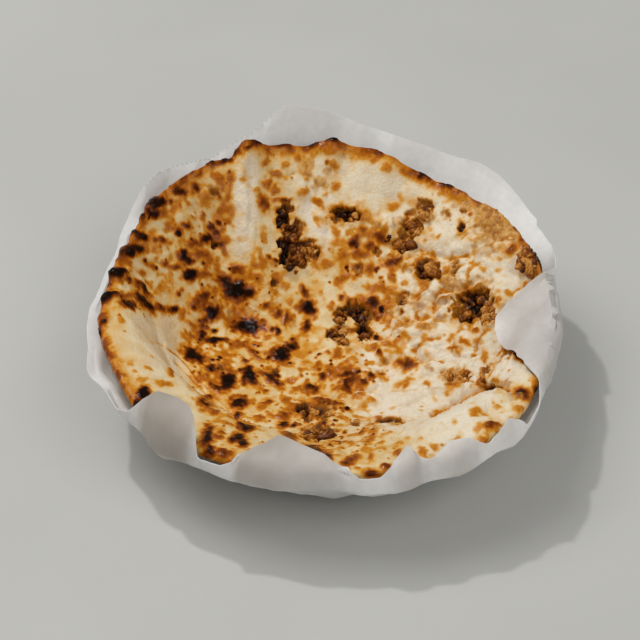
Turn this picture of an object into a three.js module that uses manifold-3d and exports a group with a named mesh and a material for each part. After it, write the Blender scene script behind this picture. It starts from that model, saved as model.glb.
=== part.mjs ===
// Keema naan in its greaseproof paper. The bread is one flat naan that has sagged into a deep dish: a low
// floor, a high back wall with a radial fold, a rolled lip down the left and a flat lip at the front right.
// A thin layer of spiced mince runs through it and shows where the top skin has burst. The sheet of paper
// hugs its underside, stands up behind it in a corner and laps over its edge in flaps.
// Millimetres, +Z up, +X to the right, +Y to the back; the origin is the middle of the flat spot it rests on.
import * as THREE from "three";
import { mergeVertices } from "three/addons/utils/BufferGeometryUtils.js";
import Module from "manifold-3d";

const wasm = await Module();
wasm.setup();

// ---- Driving dimensions ----
const PAPER_THICK = 0.7;
const CLEAR = 0.4; // between one piece and the next
const BREAD_MIDDLE = 9.5; // thickness of the bread over its floor
const BREAD_EDGE = 4.5; // and at its rim
const EDGE_ROUND = 2.2; // how far the rim's rounding reaches in
const FLOOR_TOP = PAPER_THICK + CLEAR + BREAD_MIDDLE;
const FLOOR_RISE = 4; // the floor is this much higher where the wall starts
const SKIN_SHARE = 0.4; // share of the thickness above the mince
const LAYER_SHARE = 0.34; // share that the mince layer's space takes
const LAYER_REACH = 0.9; // the layer ends at this share of the rim's radius
const LUMP_LONGEST = 40; // longest wave of the lumpy surface
const LUMP_HEIGHT = 0.9;
const CRUMB_SIZE = [3.6, 5.4]; // grains of mince, across
const CRUMB_SPACING = 4.9; // between neighbouring grains that show
const BASE_RADIUS = 47; // flat spot under the paper
const PAPER_WALL_RISE = 46; // height of the paper's dish, PAPER_WALL_RUN out from the flat spot
const PAPER_WALL_RUN = 52;
const PAPER_WALL_CURVE = 1.55;
const PAPER_STANDOFF = 2.5; // how far the paper stands outside the bread's rim
const PAPER_SLACK = 3; // how far it hangs out from the bread's wall

// The dished bread every 20 degrees of azimuth, from +X towards +Y.
const RIM_RADIUS = [
  92, 96, 100.5, 105, 107, 107, 105, 102.5, 99, 97.5, 94, 93.5, 91.5, 90.5, 90.5, 92.5, 92.5, 90,
];
const RIM_HEIGHT = [45, 47, 56, 55, 65.5, 70, 67.5, 65.5, 51, 46, 47, 41.5, 41, 41, 40, 40.5, 42, 44];
// Where floor turns to wall, as a share of the rim's radius.
const WALL_START = [
  0.5, 0.46, 0.42, 0.4, 0.42, 0.44, 0.5, 0.6, 0.7, 0.65, 0.57, 0.5, 0.43, 0.32, 0.28, 0.4, 0.54, 0.55,
];
// How the wall bends: 1 is straight, more is steep at its foot and flat at the rim, less is the other way round.
const WALL_BEND = [
  1.2, 1.0, 1.0, 0.9, 0.85, 0.85, 0.9, 1.0, 1.2, 1.6, 2.0, 2.1, 1.8, 1.4, 1.45, 2.3, 2.8, 2.2,
];

// Folds that run in from the rim: azimuth at the rim and half way in, where they start, height and half width.
const FOLDS = [
  { name: "back ridge", rim: 113, inner: 121, from: 0.42, height: 5, width: 7.5 },
  { name: "gully beside the ridge", rim: 124.5, inner: 134, from: 0.5, height: -4.5, width: 8 },
  { name: "dip behind the ridge", rim: 96, inner: 95, from: 0.6, height: -1.6, width: 8 },
  { name: "back swell", rim: 79, inner: 80, from: 0.62, height: 1.6, width: 9 },
  { name: "back right swell", rim: 58, inner: 60, from: 0.55, height: 1.5, width: 8 },
  { name: "left dip", rim: 150, inner: 152, from: 0.72, height: -1.6, width: 6 },
  { name: "right dip", rim: 355, inner: 352, from: 0.7, height: -2, width: 6 },
  { name: "right swell", rim: 17, inner: 14, from: 0.66, height: 1.8, width: 7 },
];

// The sharp crease below the left lip: azimuth, share of the rim's radius, depth.
const CREASE = [
  [150, 0.92, 0],
  [156, 0.88, 1.0],
  [172, 0.75, 1.8],
  [186, 0.645, 2.1],
  [204, 0.56, 2.1],
  [224, 0.5, 2.1],
  [244, 0.455, 1.6],
  [252, 0.43, 0],
];
const CREASE_WIDTH = 2.6;
const LIP = { height: 1.4, out: 13, width: 9 }; // the roll outside the crease, for each millimetre of its depth

// Dents and swellings: middle, radius and height.
const DENTS = [
  { name: "pinch at the right", x: 60, y: -32, radius: 7, height: -4.5 },
  { name: "valley behind the front lip", x: 49, y: -20, radius: 13, height: -3 },
  { name: "sunken front burst", x: -6, y: -47, radius: 13, height: -4 },
  { name: "left lip", x: -78, y: 18, radius: 22, height: 3 },
  { name: "low left lip", x: -85, y: -14, radius: 16, height: 1.5 },
  { name: "front right lip", x: 52, y: -60, radius: 16, height: 1.5 },
  { name: "front lip", x: 2, y: -76, radius: 18, height: 1 },
  { name: "mince lump at the rim", x: 88, y: 41, radius: 6, height: 2.6 },
  { name: "hump in the back left rim", x: -57, y: 85, radius: 11, height: 6.5 },
  { name: "notch left of the ridge", x: -47.5, y: 95, radius: 4.5, height: -4.5 },
  { name: "charred end of the ridge", x: -36, y: 97.5, radius: 7, height: 3.5 },
  { name: "charred knob in the back rim", x: 0, y: 105, radius: 6, height: 4 },
];

// Places where the skin has burst over the mince: middle, width along X, length along Y and turn in degrees.
const BURSTS = [
  { x: -15.4, y: 69.8, width: 15, length: 14, turn: 10 },
  { x: -18, y: 79.5, width: 9, length: 14, turn: 0 },
  { x: 6.1, y: 83.8, width: 13, length: 6.5, turn: 0 },
  { x: 9.5, y: 43, width: 15, length: 21, turn: 35 },
  { x: 61.4, y: 31.9, width: 21, length: 14, turn: -20 },
  { x: 43, y: 56.1, width: 11, length: 9, turn: 0 },
  { x: 31, y: 71.5, width: 11, length: 12, turn: -25 },
  { x: 42.5, y: 80, width: 13, length: 7, turn: -15 },
  { x: -6, y: -37, width: 13, length: 10, turn: 0 },
  { x: -14, y: -18.5, width: 7, length: 5.5, turn: 30 },
  { x: 25.8, y: -24.2, width: 9, length: 5.5, turn: 8 },
  { x: 51.9, y: -0.6, width: 11, length: 7.5, turn: 0 },
];

// The edge of the paper as it lies, corner by corner: azimuth, radius and height; straight in between.
const PAPER_EDGE = [
  [-32, 96, 43.5],
  [-25, 91, 46], // flap that laps over the right side of the bread
  [-20, 83, 45.5],
  [-11, 75, 40.5],
  [-6, 72, 37.5],
  [0, 70, 35],
  [8, 70, 34],
  [12.5, 71.5, 36.5],
  [15, 77, 41.5],
  [16.5, 87, 48],
  [18, 98, 52.5],
  [21.5, 100.5, 50.5],
  [28, 106, 51.5],
  [33, 109.5, 50.5],
  [36.5, 111, 51], // notch at the end of the flap
  [38, 114, 52],
  [44.4, 115.5, 57],
  [51.3, 117, 62.2],
  [56.2, 117, 63.2],
  [63.9, 116, 64.2],
  [73, 116, 67.5],
  [83.3, 117, 72.2],
  [92.4, 118, 78.5],
  [100.1, 118, 83.7], // corner of the sheet behind the bread
  [108.1, 116, 72.1],
  [118.5, 115, 64.6],
  [126.4, 115, 66.6],
  [132.2, 114, 67.5],
  [136.8, 113, 63.7],
  [143.1, 112, 56.1],
  [149.9, 110, 47.9],
  [155.1, 108, 45.3],
  [163, 105, 43.5],
  [172, 103.5, 43],
  [182, 102, 42.5],
  [195, 100.5, 43],
  [208, 98.5, 43],
  [212, 98.5, 43.5], // tongue at the front left, hollow on its outside
  [215.5, 98, 45.5],
  [217.5, 93, 51],
  [220, 88.5, 54.5],
  [225, 85, 53.5],
  [229, 84.5, 52.5],
  [232, 87, 51],
  [235.5, 92, 49],
  [238, 97, 43],
  [243, 94, 41],
  [245.5, 91.5, 41.8], // triangle at the front
  [248.7, 83, 43.5],
  [253.9, 76.6, 45],
  [260.7, 79, 44],
  [267.9, 83.3, 42.8],
  [273, 88.7, 42],
  [276, 92, 41.3],
  [281, 92.7, 41.3],
  [290, 84.2, 44.8], // small tips at the front right
  [291.3, 89.5, 43],
  [294, 91.5, 42.8],
  [300.5, 89, 44.3],
  [305.5, 91, 45.3],
  [308.5, 95.5, 43.5],
  [312.3, 93.7, 43.5],
  [317, 91.4, 46.3],
  [319, 94.8, 46.3],
  [320.5, 97, 43],
];
const PLEATS = { count: 19, wander: 5, width: 6, widthSpread: 2.5, depth: 1.2, depthSpread: 0.7 };
const PAPER_RISE = 3; // how far the margin stands above the rim before it turns in over the bread
const FOLD_OVER = 4; // and how much higher it arches where it laps well over

// ---- Curves and steps ----
const TURN = 360;
const radians = THREE.MathUtils.degToRad;
const smooth = THREE.MathUtils.smoothstep;
const lerp = THREE.MathUtils.lerp;
const clamp = THREE.MathUtils.clamp;
const bell = (distance, width) => Math.exp(-((distance / width) ** 2));
const turnBetween = (a, b) => THREE.MathUtils.euclideanModulo(a - b + TURN / 2, TURN) - TURN / 2;

// A smooth closed curve through values given at even steps of azimuth.
function around(values, azimuth) {
  const count = values.length;
  const place = THREE.MathUtils.euclideanModulo((azimuth / TURN) * count, count);
  const first = Math.floor(place);
  const f = place - first;
  const [p0, p1, p2, p3] = [-1, 0, 1, 2].map((step) => values[(first + step + count) % count]);
  const bend = 2 * p0 - 5 * p1 + 4 * p2 - p3;
  const twist = 3 * p1 - p0 - 3 * p2 + p3;
  return 0.5 * (2 * p1 + (p2 - p0) * f + bend * f * f + twist * f ** 3);
}

// A column of a table whose first column is azimuth, straight between rows; a closed one runs on past its end.
function along(rows, azimuth, column, closed) {
  const start = rows[0][0];
  const at = closed ? start + THREE.MathUtils.euclideanModulo(azimuth - start, TURN) : azimuth;
  const last = rows[rows.length - 1];
  const all = closed ? [...rows, [start + TURN, ...rows[0].slice(1)]] : rows;
  if (at <= start) return rows[0][column];
  const next = all.findIndex((row) => row[0] >= at);
  if (next < 0) return last[column];
  const share = (at - all[next - 1][0]) / (all[next][0] - all[next - 1][0]);
  return lerp(all[next - 1][column], all[next][column], share);
}

// Repeatable random numbers from 0 to 1.
function randomFrom(seed) {
  let state = seed;
  return () => {
    state = (state + 0x6d2b79f5) | 0;
    let mixed = Math.imul(state ^ (state >>> 15), 1 | state);
    mixed = (mixed + Math.imul(mixed ^ (mixed >>> 7), 61 | mixed)) ^ mixed;
    return ((mixed ^ (mixed >>> 14)) >>> 0) / 4294967296;
  };
}

// ---- The bread's form; reach is the share of the rim's radius, 0 in the middle and 1 at the rim ----
function wallProfile(rise, bend) {
  const share = clamp(rise, 0, 1);
  return bend >= 1 ? 1 - (1 - share) ** bend : share ** (1 / bend);
}

function foldHeight(fold, reach, azimuth, radius) {
  const middle = fold.inner + (fold.rim - fold.inner) * clamp((reach - 0.5) / 0.5, -0.4, 1);
  const side = radians(turnBetween(azimuth, middle)) * radius;
  return fold.height * bell(side, fold.width) * smooth(reach, fold.from - 0.15, fold.from + 0.25);
}

// Top of the bread without its crease and lumps.
function formHeight(reach, azimuth) {
  const rim = around(RIM_RADIUS, azimuth);
  const start = around(WALL_START, azimuth);
  const radius = reach * rim;
  const x = radius * Math.cos(radians(azimuth));
  const y = radius * Math.sin(radians(azimuth));
  // The wall's foot is soft, and sharper at the left.
  const foot = 0.1 - 0.05 * smooth(-Math.abs(turnBetween(azimuth, 205)), -60, -30);
  const past = (reach - start) / (1 - start);
  const rise = (past + Math.hypot(past, foot)) / (1 + Math.hypot(1, foot));
  const floor = FLOOR_TOP + FLOOR_RISE * Math.min(reach / start, 1) ** 2;
  let z = floor + (around(RIM_HEIGHT, azimuth) - floor) * wallProfile(rise, around(WALL_BEND, azimuth));
  for (const fold of FOLDS) z += foldHeight(fold, reach, azimuth, radius);
  for (const dent of DENTS) z += dent.height * bell(Math.hypot(x - dent.x, y - dent.y), dent.radius);
  return z;
}

function creaseHeight(reach, azimuth) {
  const at = THREE.MathUtils.euclideanModulo(azimuth, TURN);
  const depth = along(CREASE, at, 2, false);
  const out = (reach - along(CREASE, at, 1, false)) * around(RIM_RADIUS, azimuth);
  return depth * (LIP.height * bell(out - LIP.out, LIP.width) - bell(out, CREASE_WIDTH));
}

// Uneven lumps: waves that cross each other at steadily turning directions, each shorter than the last.
function lumps(x, y) {
  const waves = 7;
  const shorter = 0.82;
  const goldenAngle = 2.399963;
  let sum = 0;
  for (let i = 0; i < waves; i++) {
    const direction = goldenAngle * i + 0.6;
    const length = LUMP_LONGEST * shorter ** i;
    const forward = (x * Math.cos(direction) + y * Math.sin(direction)) / length;
    const sideways = (x * Math.sin(direction) - y * Math.cos(direction)) / length;
    sum += Math.sin(2 * Math.PI * forward + 1.7 * i + 0.9 * Math.sin(2.2 * sideways + i));
  }
  return (LUMP_HEIGHT * sum) / Math.sqrt(waves);
}

function topHeight(reach, azimuth) {
  const radius = reach * around(RIM_RADIUS, azimuth);
  const x = radius * Math.cos(radians(azimuth));
  const y = radius * Math.sin(radians(azimuth));
  const lumpy = (0.3 + 0.7 * smooth(x + 0.35 * y, -15, 35)) * (1 - smooth(reach, 0.9, 1.05));
  return formHeight(reach, azimuth) + creaseHeight(reach, azimuth) + lumpy * lumps(x, y);
}

const thickness = (reach) => lerp(BREAD_MIDDLE, BREAD_EDGE, smooth(reach, 0.55, 1));
const underHeight = (reach, azimuth) => formHeight(reach, azimuth) - thickness(reach);

// Top and bottom of the space that the mince lies in, or with a clearance those of the mince itself.
function layerHeights(reach, azimuth, clearance) {
  const top = formHeight(reach, azimuth) - SKIN_SHARE * thickness(reach);
  return { top: top - clearance, bottom: top - LAYER_SHARE * thickness(reach) + clearance };
}

function polarOf(x, y) {
  const azimuth = THREE.MathUtils.euclideanModulo(THREE.MathUtils.radToDeg(Math.atan2(y, x)), TURN);
  return { azimuth, reach: Math.hypot(x, y) / around(RIM_RADIUS, azimuth) };
}

// ---- Closed skins made of rings ----
function pointAt(radius, azimuth, z) {
  return [radius * Math.cos(radians(azimuth)), radius * Math.sin(radians(azimuth)), z];
}

const evenTurns = (count) => Array.from({ length: count }, (_, i) => (TURN * i) / count);
const ring = (azimuths, place) => azimuths.map((azimuth) => ({ azimuth, point: place(azimuth) }));

// Triangles between two rings that go the same way round; a ring of one point is a pole.
function stitch(first, second, firstIndex, secondIndex, faces) {
  const azimuthAfter = (points, i) => (i + 1 < points.length ? points[i + 1].azimuth : points[0].azimuth + TURN);
  const stepsOf = (points) => (points.length > 1 ? points.length : 0);
  let i = 0;
  let j = 0;
  while (i < stepsOf(first) || j < stepsOf(second)) {
    const nextFirst = i < stepsOf(first) ? azimuthAfter(first, i) : Infinity;
    const nextSecond = j < stepsOf(second) ? azimuthAfter(second, j) : Infinity;
    const a = firstIndex + (i % first.length);
    const b = secondIndex + (j % second.length);
    if (nextFirst <= nextSecond) {
      i += 1;
      faces.push(a, b, firstIndex + (i % first.length));
    } else {
      j += 1;
      faces.push(a, b, secondIndex + (j % second.length));
    }
  }
}

// A closed skin from its rings in order: pole above, top outwards, edge, underside inwards, pole below.
function skinOf(rings) {
  const positions = [];
  const faces = [];
  let start = 0;
  rings.forEach((points, i) => {
    points.forEach(({ point }) => positions.push(...point));
    if (i > 0) stitch(rings[i - 1], points, start - rings[i - 1].length, start, faces);
    start += points.length;
  });
  const geometry = new THREE.BufferGeometry();
  geometry.setAttribute("position", new THREE.Float32BufferAttribute(positions, 3));
  geometry.setIndex(faces);
  return geometry;
}

function solidOf(geometry) {
  const bare = geometry.clone();
  bare.deleteAttribute("normal");
  bare.deleteAttribute("uv");
  const merged = mergeVertices(bare);
  const mesh = new wasm.Mesh({
    numProp: 3,
    vertProperties: merged.attributes.position.array,
    triVerts: new Uint32Array(merged.index.array),
  });
  return new wasm.Manifold(mesh);
}

function geometryOf(solid) {
  const mesh = solid.getMesh();
  const geometry = new THREE.BufferGeometry();
  geometry.setAttribute("position", new THREE.BufferAttribute(mesh.vertProperties, 3));
  geometry.setIndex(new THREE.BufferAttribute(mesh.triVerts, 1));
  return geometry;
}

const largestBody = (solid) => solid.decompose().sort((a, b) => b.volume() - a.volume())[0];

// ---- The bread ----
const TOP_RINGS = 19;
const UNDER_RINGS = 10;
const LAYER_RINGS = UNDER_RINGS * LAYER_REACH; // the mince's rings stand over the underside's, so no facets meet
const POINTS_PER_RING = 6; // ring n has n times as many, so the triangles stay even

function breadSkin() {
  const rings = [];
  const innerReach = (azimuth) => 1 - EDGE_ROUND / around(RIM_RADIUS, azimuth);
  for (let n = 0; n <= TOP_RINGS; n++) {
    const turns = evenTurns(Math.max(1, POINTS_PER_RING * n));
    const reachOf = (azimuth) => (innerReach(azimuth) * n) / TOP_RINGS;
    const place = (azimuth) => {
      const reach = reachOf(azimuth);
      return pointAt(reach * around(RIM_RADIUS, azimuth), azimuth, topHeight(reach, azimuth));
    };
    rings.push(ring(turns, place));
  }
  for (const angle of [32, -32]) {
    const place = (azimuth) => {
      const radius = around(RIM_RADIUS, azimuth) - EDGE_ROUND * (1 - Math.cos(radians(angle)));
      const middle = topHeight(1, azimuth) - BREAD_EDGE / 2;
      return pointAt(radius, azimuth, middle + (BREAD_EDGE / 2) * Math.sin(radians(angle)));
    };
    const steps = angle > 0 ? TOP_RINGS : (UNDER_RINGS + TOP_RINGS) / 2;
    rings.push(ring(evenTurns(POINTS_PER_RING * steps), place));
  }
  for (let n = UNDER_RINGS; n >= 0; n--) {
    const turns = evenTurns(Math.max(1, POINTS_PER_RING * n));
    const place = (azimuth) => {
      const reach = n < UNDER_RINGS ? n / UNDER_RINGS : innerReach(azimuth);
      return pointAt(reach * around(RIM_RADIUS, azimuth), azimuth, underHeight(reach, azimuth));
    };
    rings.push(ring(turns, place));
  }
  return skinOf(rings);
}

// The space for the mince, or with a clearance the layer of mince that fills it.
function layerSkin(clearance) {
  const rings = [];
  for (const side of ["top", "bottom"]) {
    for (let step = 0; step <= LAYER_RINGS; step++) {
      const n = side === "top" ? step : LAYER_RINGS - step;
      const turns = evenTurns(Math.max(1, POINTS_PER_RING * n));
      const place = (azimuth) => {
        const rim = around(RIM_RADIUS, azimuth);
        const inset = n === LAYER_RINGS ? (2 * clearance) / rim : 0;
        const reach = (LAYER_REACH * n) / LAYER_RINGS - inset;
        return pointAt(reach * rim, azimuth, layerHeights(reach, azimuth, clearance)[side]);
      };
      rings.push(ring(turns, place));
    }
  }
  return skinOf(rings);
}

// A post with a burst's ragged outline, from inside the mince's space to above the bread, drawn in by an inset.
const BURST_SIDES = 9;

function burstPost(burst, inset) {
  const random = randomFrom(Math.round(burst.x * 31 + burst.y * 17));
  const ragged = evenTurns(BURST_SIDES).map(() => lerp(0.84, 1.1, random()));
  const outline = (share) => {
    return evenTurns(BURST_SIDES).map((angle, i) => {
      const across = ((burst.width / 2) * ragged[i] - inset) * share * Math.cos(radians(angle));
      const lengthways = ((burst.length / 2) * ragged[i] - inset) * share * Math.sin(radians(angle));
      const turn = radians(burst.turn);
      const x = burst.x + across * Math.cos(turn) - lengthways * Math.sin(turn);
      const y = burst.y + across * Math.sin(turn) + lengthways * Math.cos(turn);
      return { azimuth: angle, x, y };
    });
  };
  const middleOfLayer = (x, y) => {
    const { azimuth, reach } = polarOf(x, y);
    const { top, bottom } = layerHeights(reach, azimuth, 0);
    return (top + bottom) / 2;
  };
  const above = (x, y) => topHeight(polarOf(x, y).reach, polarOf(x, y).azimuth) + 6;
  const level = (points, heightAt) => {
    return points.map(({ azimuth, x, y }) => ({ azimuth, point: [x, y, heightAt(x, y)] }));
  };
  const pole = [{ azimuth: 0, x: burst.x, y: burst.y }];
  return skinOf([
    level(pole, above),
    level(outline(1), above),
    level(outline(1), middleOfLayer),
    level(outline(0.5), middleOfLayer),
    level(pole, middleOfLayer),
  ]);
}

// ---- The mince ----
// One grain: a ball of twenty faces with its corners pushed in and out.
function crumb(size, random) {
  const ball = new THREE.IcosahedronGeometry(size / 2, 0);
  ball.deleteAttribute("normal");
  ball.deleteAttribute("uv");
  const grain = mergeVertices(ball);
  const corners = grain.attributes.position;
  for (let i = 0; i < corners.count; i++) {
    const push = lerp(0.78, 1.16, random());
    corners.setXYZ(i, corners.getX(i) * push, corners.getY(i) * push, corners.getZ(i) * push);
  }
  const spin = new THREE.Euler(TURN * random(), TURN * random(), TURN * random());
  grain.applyMatrix4(new THREE.Matrix4().makeRotationFromEuler(spin));
  grain.scale(1, lerp(0.75, 1, random()), lerp(0.75, 1, random()));
  return grain;
}

// The grains that lie in a burst, sunk a little in the layer and cut to the burst's outline.
function crumbsIn(burst) {
  const random = randomFrom(Math.round(burst.x * 13 + burst.y * 7 + 5));
  const post = solidOf(burstPost(burst, CLEAR));
  const rowsAcross = Math.ceil(burst.width / CRUMB_SPACING);
  const rowsAlong = Math.ceil(burst.length / CRUMB_SPACING);
  const turn = radians(burst.turn);
  let heap = null;
  for (let i = 0; i < rowsAcross; i++) {
    for (let j = 0; j < rowsAlong; j++) {
      const across = ((i + 0.5 + 0.5 * (random() - 0.5)) / rowsAcross - 0.5) * burst.width;
      const lengthways = ((j + 0.5 + 0.5 * (random() - 0.5)) / rowsAlong - 0.5) * burst.length;
      const size = lerp(...CRUMB_SIZE, random());
      const grain = crumb(size, random);
      if (Math.hypot(across / burst.width, lengthways / burst.length) > 0.5) continue;
      const x = burst.x + across * Math.cos(turn) - lengthways * Math.sin(turn);
      const y = burst.y + across * Math.sin(turn) + lengthways * Math.cos(turn);
      const { azimuth, reach } = polarOf(x, y);
      grain.translate(x, y, layerHeights(reach, azimuth, CLEAR).top + size * lerp(0.02, 0.3, random()));
      heap = heap ? heap.add(solidOf(grain)) : solidOf(grain);
    }
  }
  return heap.intersect(post);
}

// ---- The paper; way is 0 in the middle, 1 under the bread's rim and 2 at the sheet's edge ----
function pleatDepth(azimuth) {
  let depth = 0;
  for (let i = 0; i < PLEATS.count; i++) {
    const middle = (TURN * i) / PLEATS.count + PLEATS.wander * Math.sin(2.1 * i);
    const width = PLEATS.width + PLEATS.widthSpread * Math.sin(1.3 * i);
    const height = PLEATS.depth + PLEATS.depthSpread * Math.sin(2.7 * i);
    depth += height * Math.max(0, 1 - Math.abs(turnBetween(azimuth, middle)) / width);
  }
  return depth;
}

// Radius and height of the paper's inner face under the bread: a dish, pressed down where the bread is lower.
function dishPlace(radius, azimuth) {
  const dish = PAPER_WALL_RISE * Math.max(0, (radius - BASE_RADIUS) / PAPER_WALL_RUN) ** PAPER_WALL_CURVE;
  const nearby = clamp((radius - PAPER_SLACK) / around(RIM_RADIUS, azimuth), 0, 1);
  const bread = underHeight(nearby, azimuth) - PAPER_THICK - 3 * CLEAR;
  return { radius, z: PAPER_THICK + Math.max(0, Math.min(dish, bread)) };
}

function paperPlace(way, azimuth) {
  const rim = around(RIM_RADIUS, azimuth);
  const turned = dishPlace(Math.min(way, 1) * (rim + PAPER_STANDOFF), azimuth);
  let { radius, z } = turned;
  const free = clamp(way - 1, 0, 1);
  const edge = { radius: along(PAPER_EDGE, azimuth, 1, true), z: along(PAPER_EDGE, azimuth, 2, true) };
  const lapping = smooth(rim - edge.radius, -2, 6); // 1 where the margin folds in over the bread
  if (free > 0) {
    const archHeight = around(RIM_HEIGHT, azimuth) + PAPER_RISE + FOLD_OVER * lapping;
    const fold = { radius: rim + PAPER_STANDOFF + 0.5, z: archHeight };
    const halfWay = { radius: (turned.radius + edge.radius) / 2, z: (turned.z + edge.z) / 2 };
    const bendRadius = lerp(halfWay.radius, fold.radius, lapping);
    const bendZ = lerp(halfWay.z, fold.z, lapping);
    const weights = [(1 - free) ** 2, 2 * free * (1 - free), free ** 2];
    radius = weights[0] * turned.radius + weights[1] * bendRadius + weights[2] * edge.radius;
    z = weights[0] * turned.z + weights[1] * bendZ + weights[2] * edge.z;
  }
  const pleat = pleatDepth(azimuth) * smooth(radius, BASE_RADIUS + 3, 90) * (1 - lapping * free);
  radius += 0.8 * pleat;
  z -= 0.6 * pleat * (1 - free);
  const reach = radius / rim;
  if (free > 0 && reach < 1) z = Math.max(z, topHeight(reach, azimuth) + 4 * CLEAR);
  return { radius, z: Math.max(z, PAPER_THICK) };
}

// The outer face lies a paper's thickness off the inner one, square to the way out.
function outerPlace(way, azimuth) {
  const here = paperPlace(way, azimuth);
  const step = 0.02;
  const before = paperPlace(Math.max(way - step, 0), azimuth);
  const after = paperPlace(Math.min(way + step, 2), azimuth);
  const run = after.radius - before.radius;
  const rise = after.z - before.z;
  const length = Math.hypot(run, rise);
  const radius = Math.max(0, here.radius + (PAPER_THICK * rise) / length);
  const z = here.z - (PAPER_THICK * run) / length;
  return { radius, z: here.radius < BASE_RADIUS ? 0 : Math.max(0, z) };
}

function paperSkin() {
  const cornerTurns = PAPER_EDGE.map(([azimuth]) => THREE.MathUtils.euclideanModulo(azimuth, TURN));
  const corners = cornerTurns.sort((a, b) => a - b);
  const widest = 7; // degrees between neighbouring points
  const turns = corners.flatMap((azimuth, i) => {
    const next = corners[i + 1] ?? corners[0] + TURN;
    const parts = Math.ceil((next - azimuth) / widest);
    return Array.from({ length: parts }, (_, k) => lerp(azimuth, next, k / parts));
  });
  const ways = [0.5, 0.6, 0.7, 0.8, 0.9, 1, 1.15, 1.32, 1.52, 1.76, 2];
  const everyOther = (azimuths) => azimuths.filter((_, i) => i % 2 === 0);
  const pole = [0];
  const ringsOf = (placeOf) => [
    ring(pole, (azimuth) => pointAt(0, azimuth, placeOf(0, azimuth).z)),
    ring(evenTurns(12), (azimuth) => pointAt(placeOf(0.22, azimuth).radius, azimuth, placeOf(0.22, azimuth).z)),
    ...ways.map((way) => {
      const azimuths = way < 0.65 ? everyOther(turns) : turns;
      return ring(azimuths, (azimuth) => {
        const { radius, z } = placeOf(way, azimuth);
        return pointAt(radius, azimuth, z);
      });
    }),
  ];
  return skinOf([...ringsOf(paperPlace), ...ringsOf(outerPlace).reverse()]);
}

// ---- Materials ----
const BAKED_BREAD = new THREE.MeshStandardMaterial({ color: 0xdcc197, roughness: 0.62, metalness: 0 });
const COOKED_MINCE = new THREE.MeshStandardMaterial({ color: 0x6a4627, roughness: 0.5, metalness: 0 });
const GREASEPROOF = new THREE.MeshStandardMaterial({ color: 0xd9d7d5, roughness: 0.7, metalness: 0 });

function piece(name, geometry, material) {
  geometry.computeVertexNormals();
  const mesh = new THREE.Mesh(geometry, material);
  mesh.name = name;
  return mesh;
}

// ---- The whole ----
let bread = solidOf(breadSkin()).subtract(solidOf(layerSkin(0)));
let mince = solidOf(layerSkin(CLEAR));
for (const burst of BURSTS) {
  bread = bread.subtract(solidOf(burstPost(burst, 0)));
  mince = mince.add(crumbsIn(burst));
}

const keemaNaan = new THREE.Group();
keemaNaan.add(piece("naan", geometryOf(largestBody(bread)), BAKED_BREAD));
keemaNaan.add(piece("keema_filling", geometryOf(largestBody(mince)), COOKED_MINCE));
keemaNaan.add(piece("paper_liner", paperSkin(), GREASEPROOF));

export default keemaNaan;
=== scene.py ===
import itertools
import math

import bmesh
import bpy
import numpy as np
from mathutils import Matrix, Vector


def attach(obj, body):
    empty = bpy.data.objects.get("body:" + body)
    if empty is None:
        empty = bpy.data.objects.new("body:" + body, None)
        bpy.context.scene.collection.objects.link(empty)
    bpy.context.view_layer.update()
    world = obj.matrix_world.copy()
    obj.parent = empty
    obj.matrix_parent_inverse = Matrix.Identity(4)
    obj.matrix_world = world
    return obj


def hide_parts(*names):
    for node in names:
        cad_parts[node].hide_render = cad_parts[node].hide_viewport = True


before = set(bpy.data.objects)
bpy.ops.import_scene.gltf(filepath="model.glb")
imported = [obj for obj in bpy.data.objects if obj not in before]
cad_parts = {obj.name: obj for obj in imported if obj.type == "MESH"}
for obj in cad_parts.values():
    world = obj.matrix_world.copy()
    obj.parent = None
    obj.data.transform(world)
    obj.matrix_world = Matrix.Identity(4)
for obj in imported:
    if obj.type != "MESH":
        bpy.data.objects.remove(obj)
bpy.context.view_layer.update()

# Keema naan in greaseproof paper. Sizes are in millimetres and angles in degrees until a mesh is made.

# ---- The camera ----
# It looks down on the bread from the front, from 36.5 degrees above the level. The marks listed from the
# photograph reach the bread along its lines of sight, so it is set up before the bread is made.
MM = 0.001
PHOTO_SIDE = 640  # pixels; every u and v below is a pixel of that square
AIM = np.array([0.0, 0.0, 42.0])
AIM_U = 333
AIM_V = 331
TILT = math.radians(36.5)
DISTANCE = 850
PIXELS_PER_MM = 2.4
FOCAL = PIXELS_PER_MM * DISTANCE  # in pixels
SENSOR = 36

rightward = np.array([1.0, 0.0, 0.0])
upward = np.array([0.0, math.sin(TILT), math.cos(TILT)])
forward = np.array([0.0, math.cos(TILT), -math.sin(TILT)])
eye = AIM - forward * DISTANCE


def pixel_of(points):
    """Where points show in the photograph, u to the right and v down, and how far from the eye they are."""
    from_eye = points - eye
    depth = from_eye @ forward
    u = AIM_U + FOCAL * (from_eye @ rightward) / depth
    v = AIM_V - FOCAL * (from_eye @ upward) / depth
    return u, v, depth


camera_data = bpy.data.cameras.new("camera")
camera_data.sensor_width = SENSOR
camera_data.lens = FOCAL / PHOTO_SIDE * SENSOR
camera_data.shift_x = (PHOTO_SIDE / 2 - AIM_U) / PHOTO_SIDE
camera_data.shift_y = (AIM_V - PHOTO_SIDE / 2) / PHOTO_SIDE
camera_data.clip_start = 0.01
camera = bpy.data.objects.new("camera", camera_data)
camera.matrix_world = Matrix([
    [rightward[0], upward[0], -forward[0], eye[0] * MM],
    [rightward[1], upward[1], -forward[1], eye[1] * MM],
    [rightward[2], upward[2], -forward[2], eye[2] * MM],
    [0, 0, 0, 1],
])
bpy.context.scene.collection.objects.link(camera)
bpy.context.scene.camera = camera
bpy.context.scene.view_settings.view_transform = "Standard"

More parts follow.
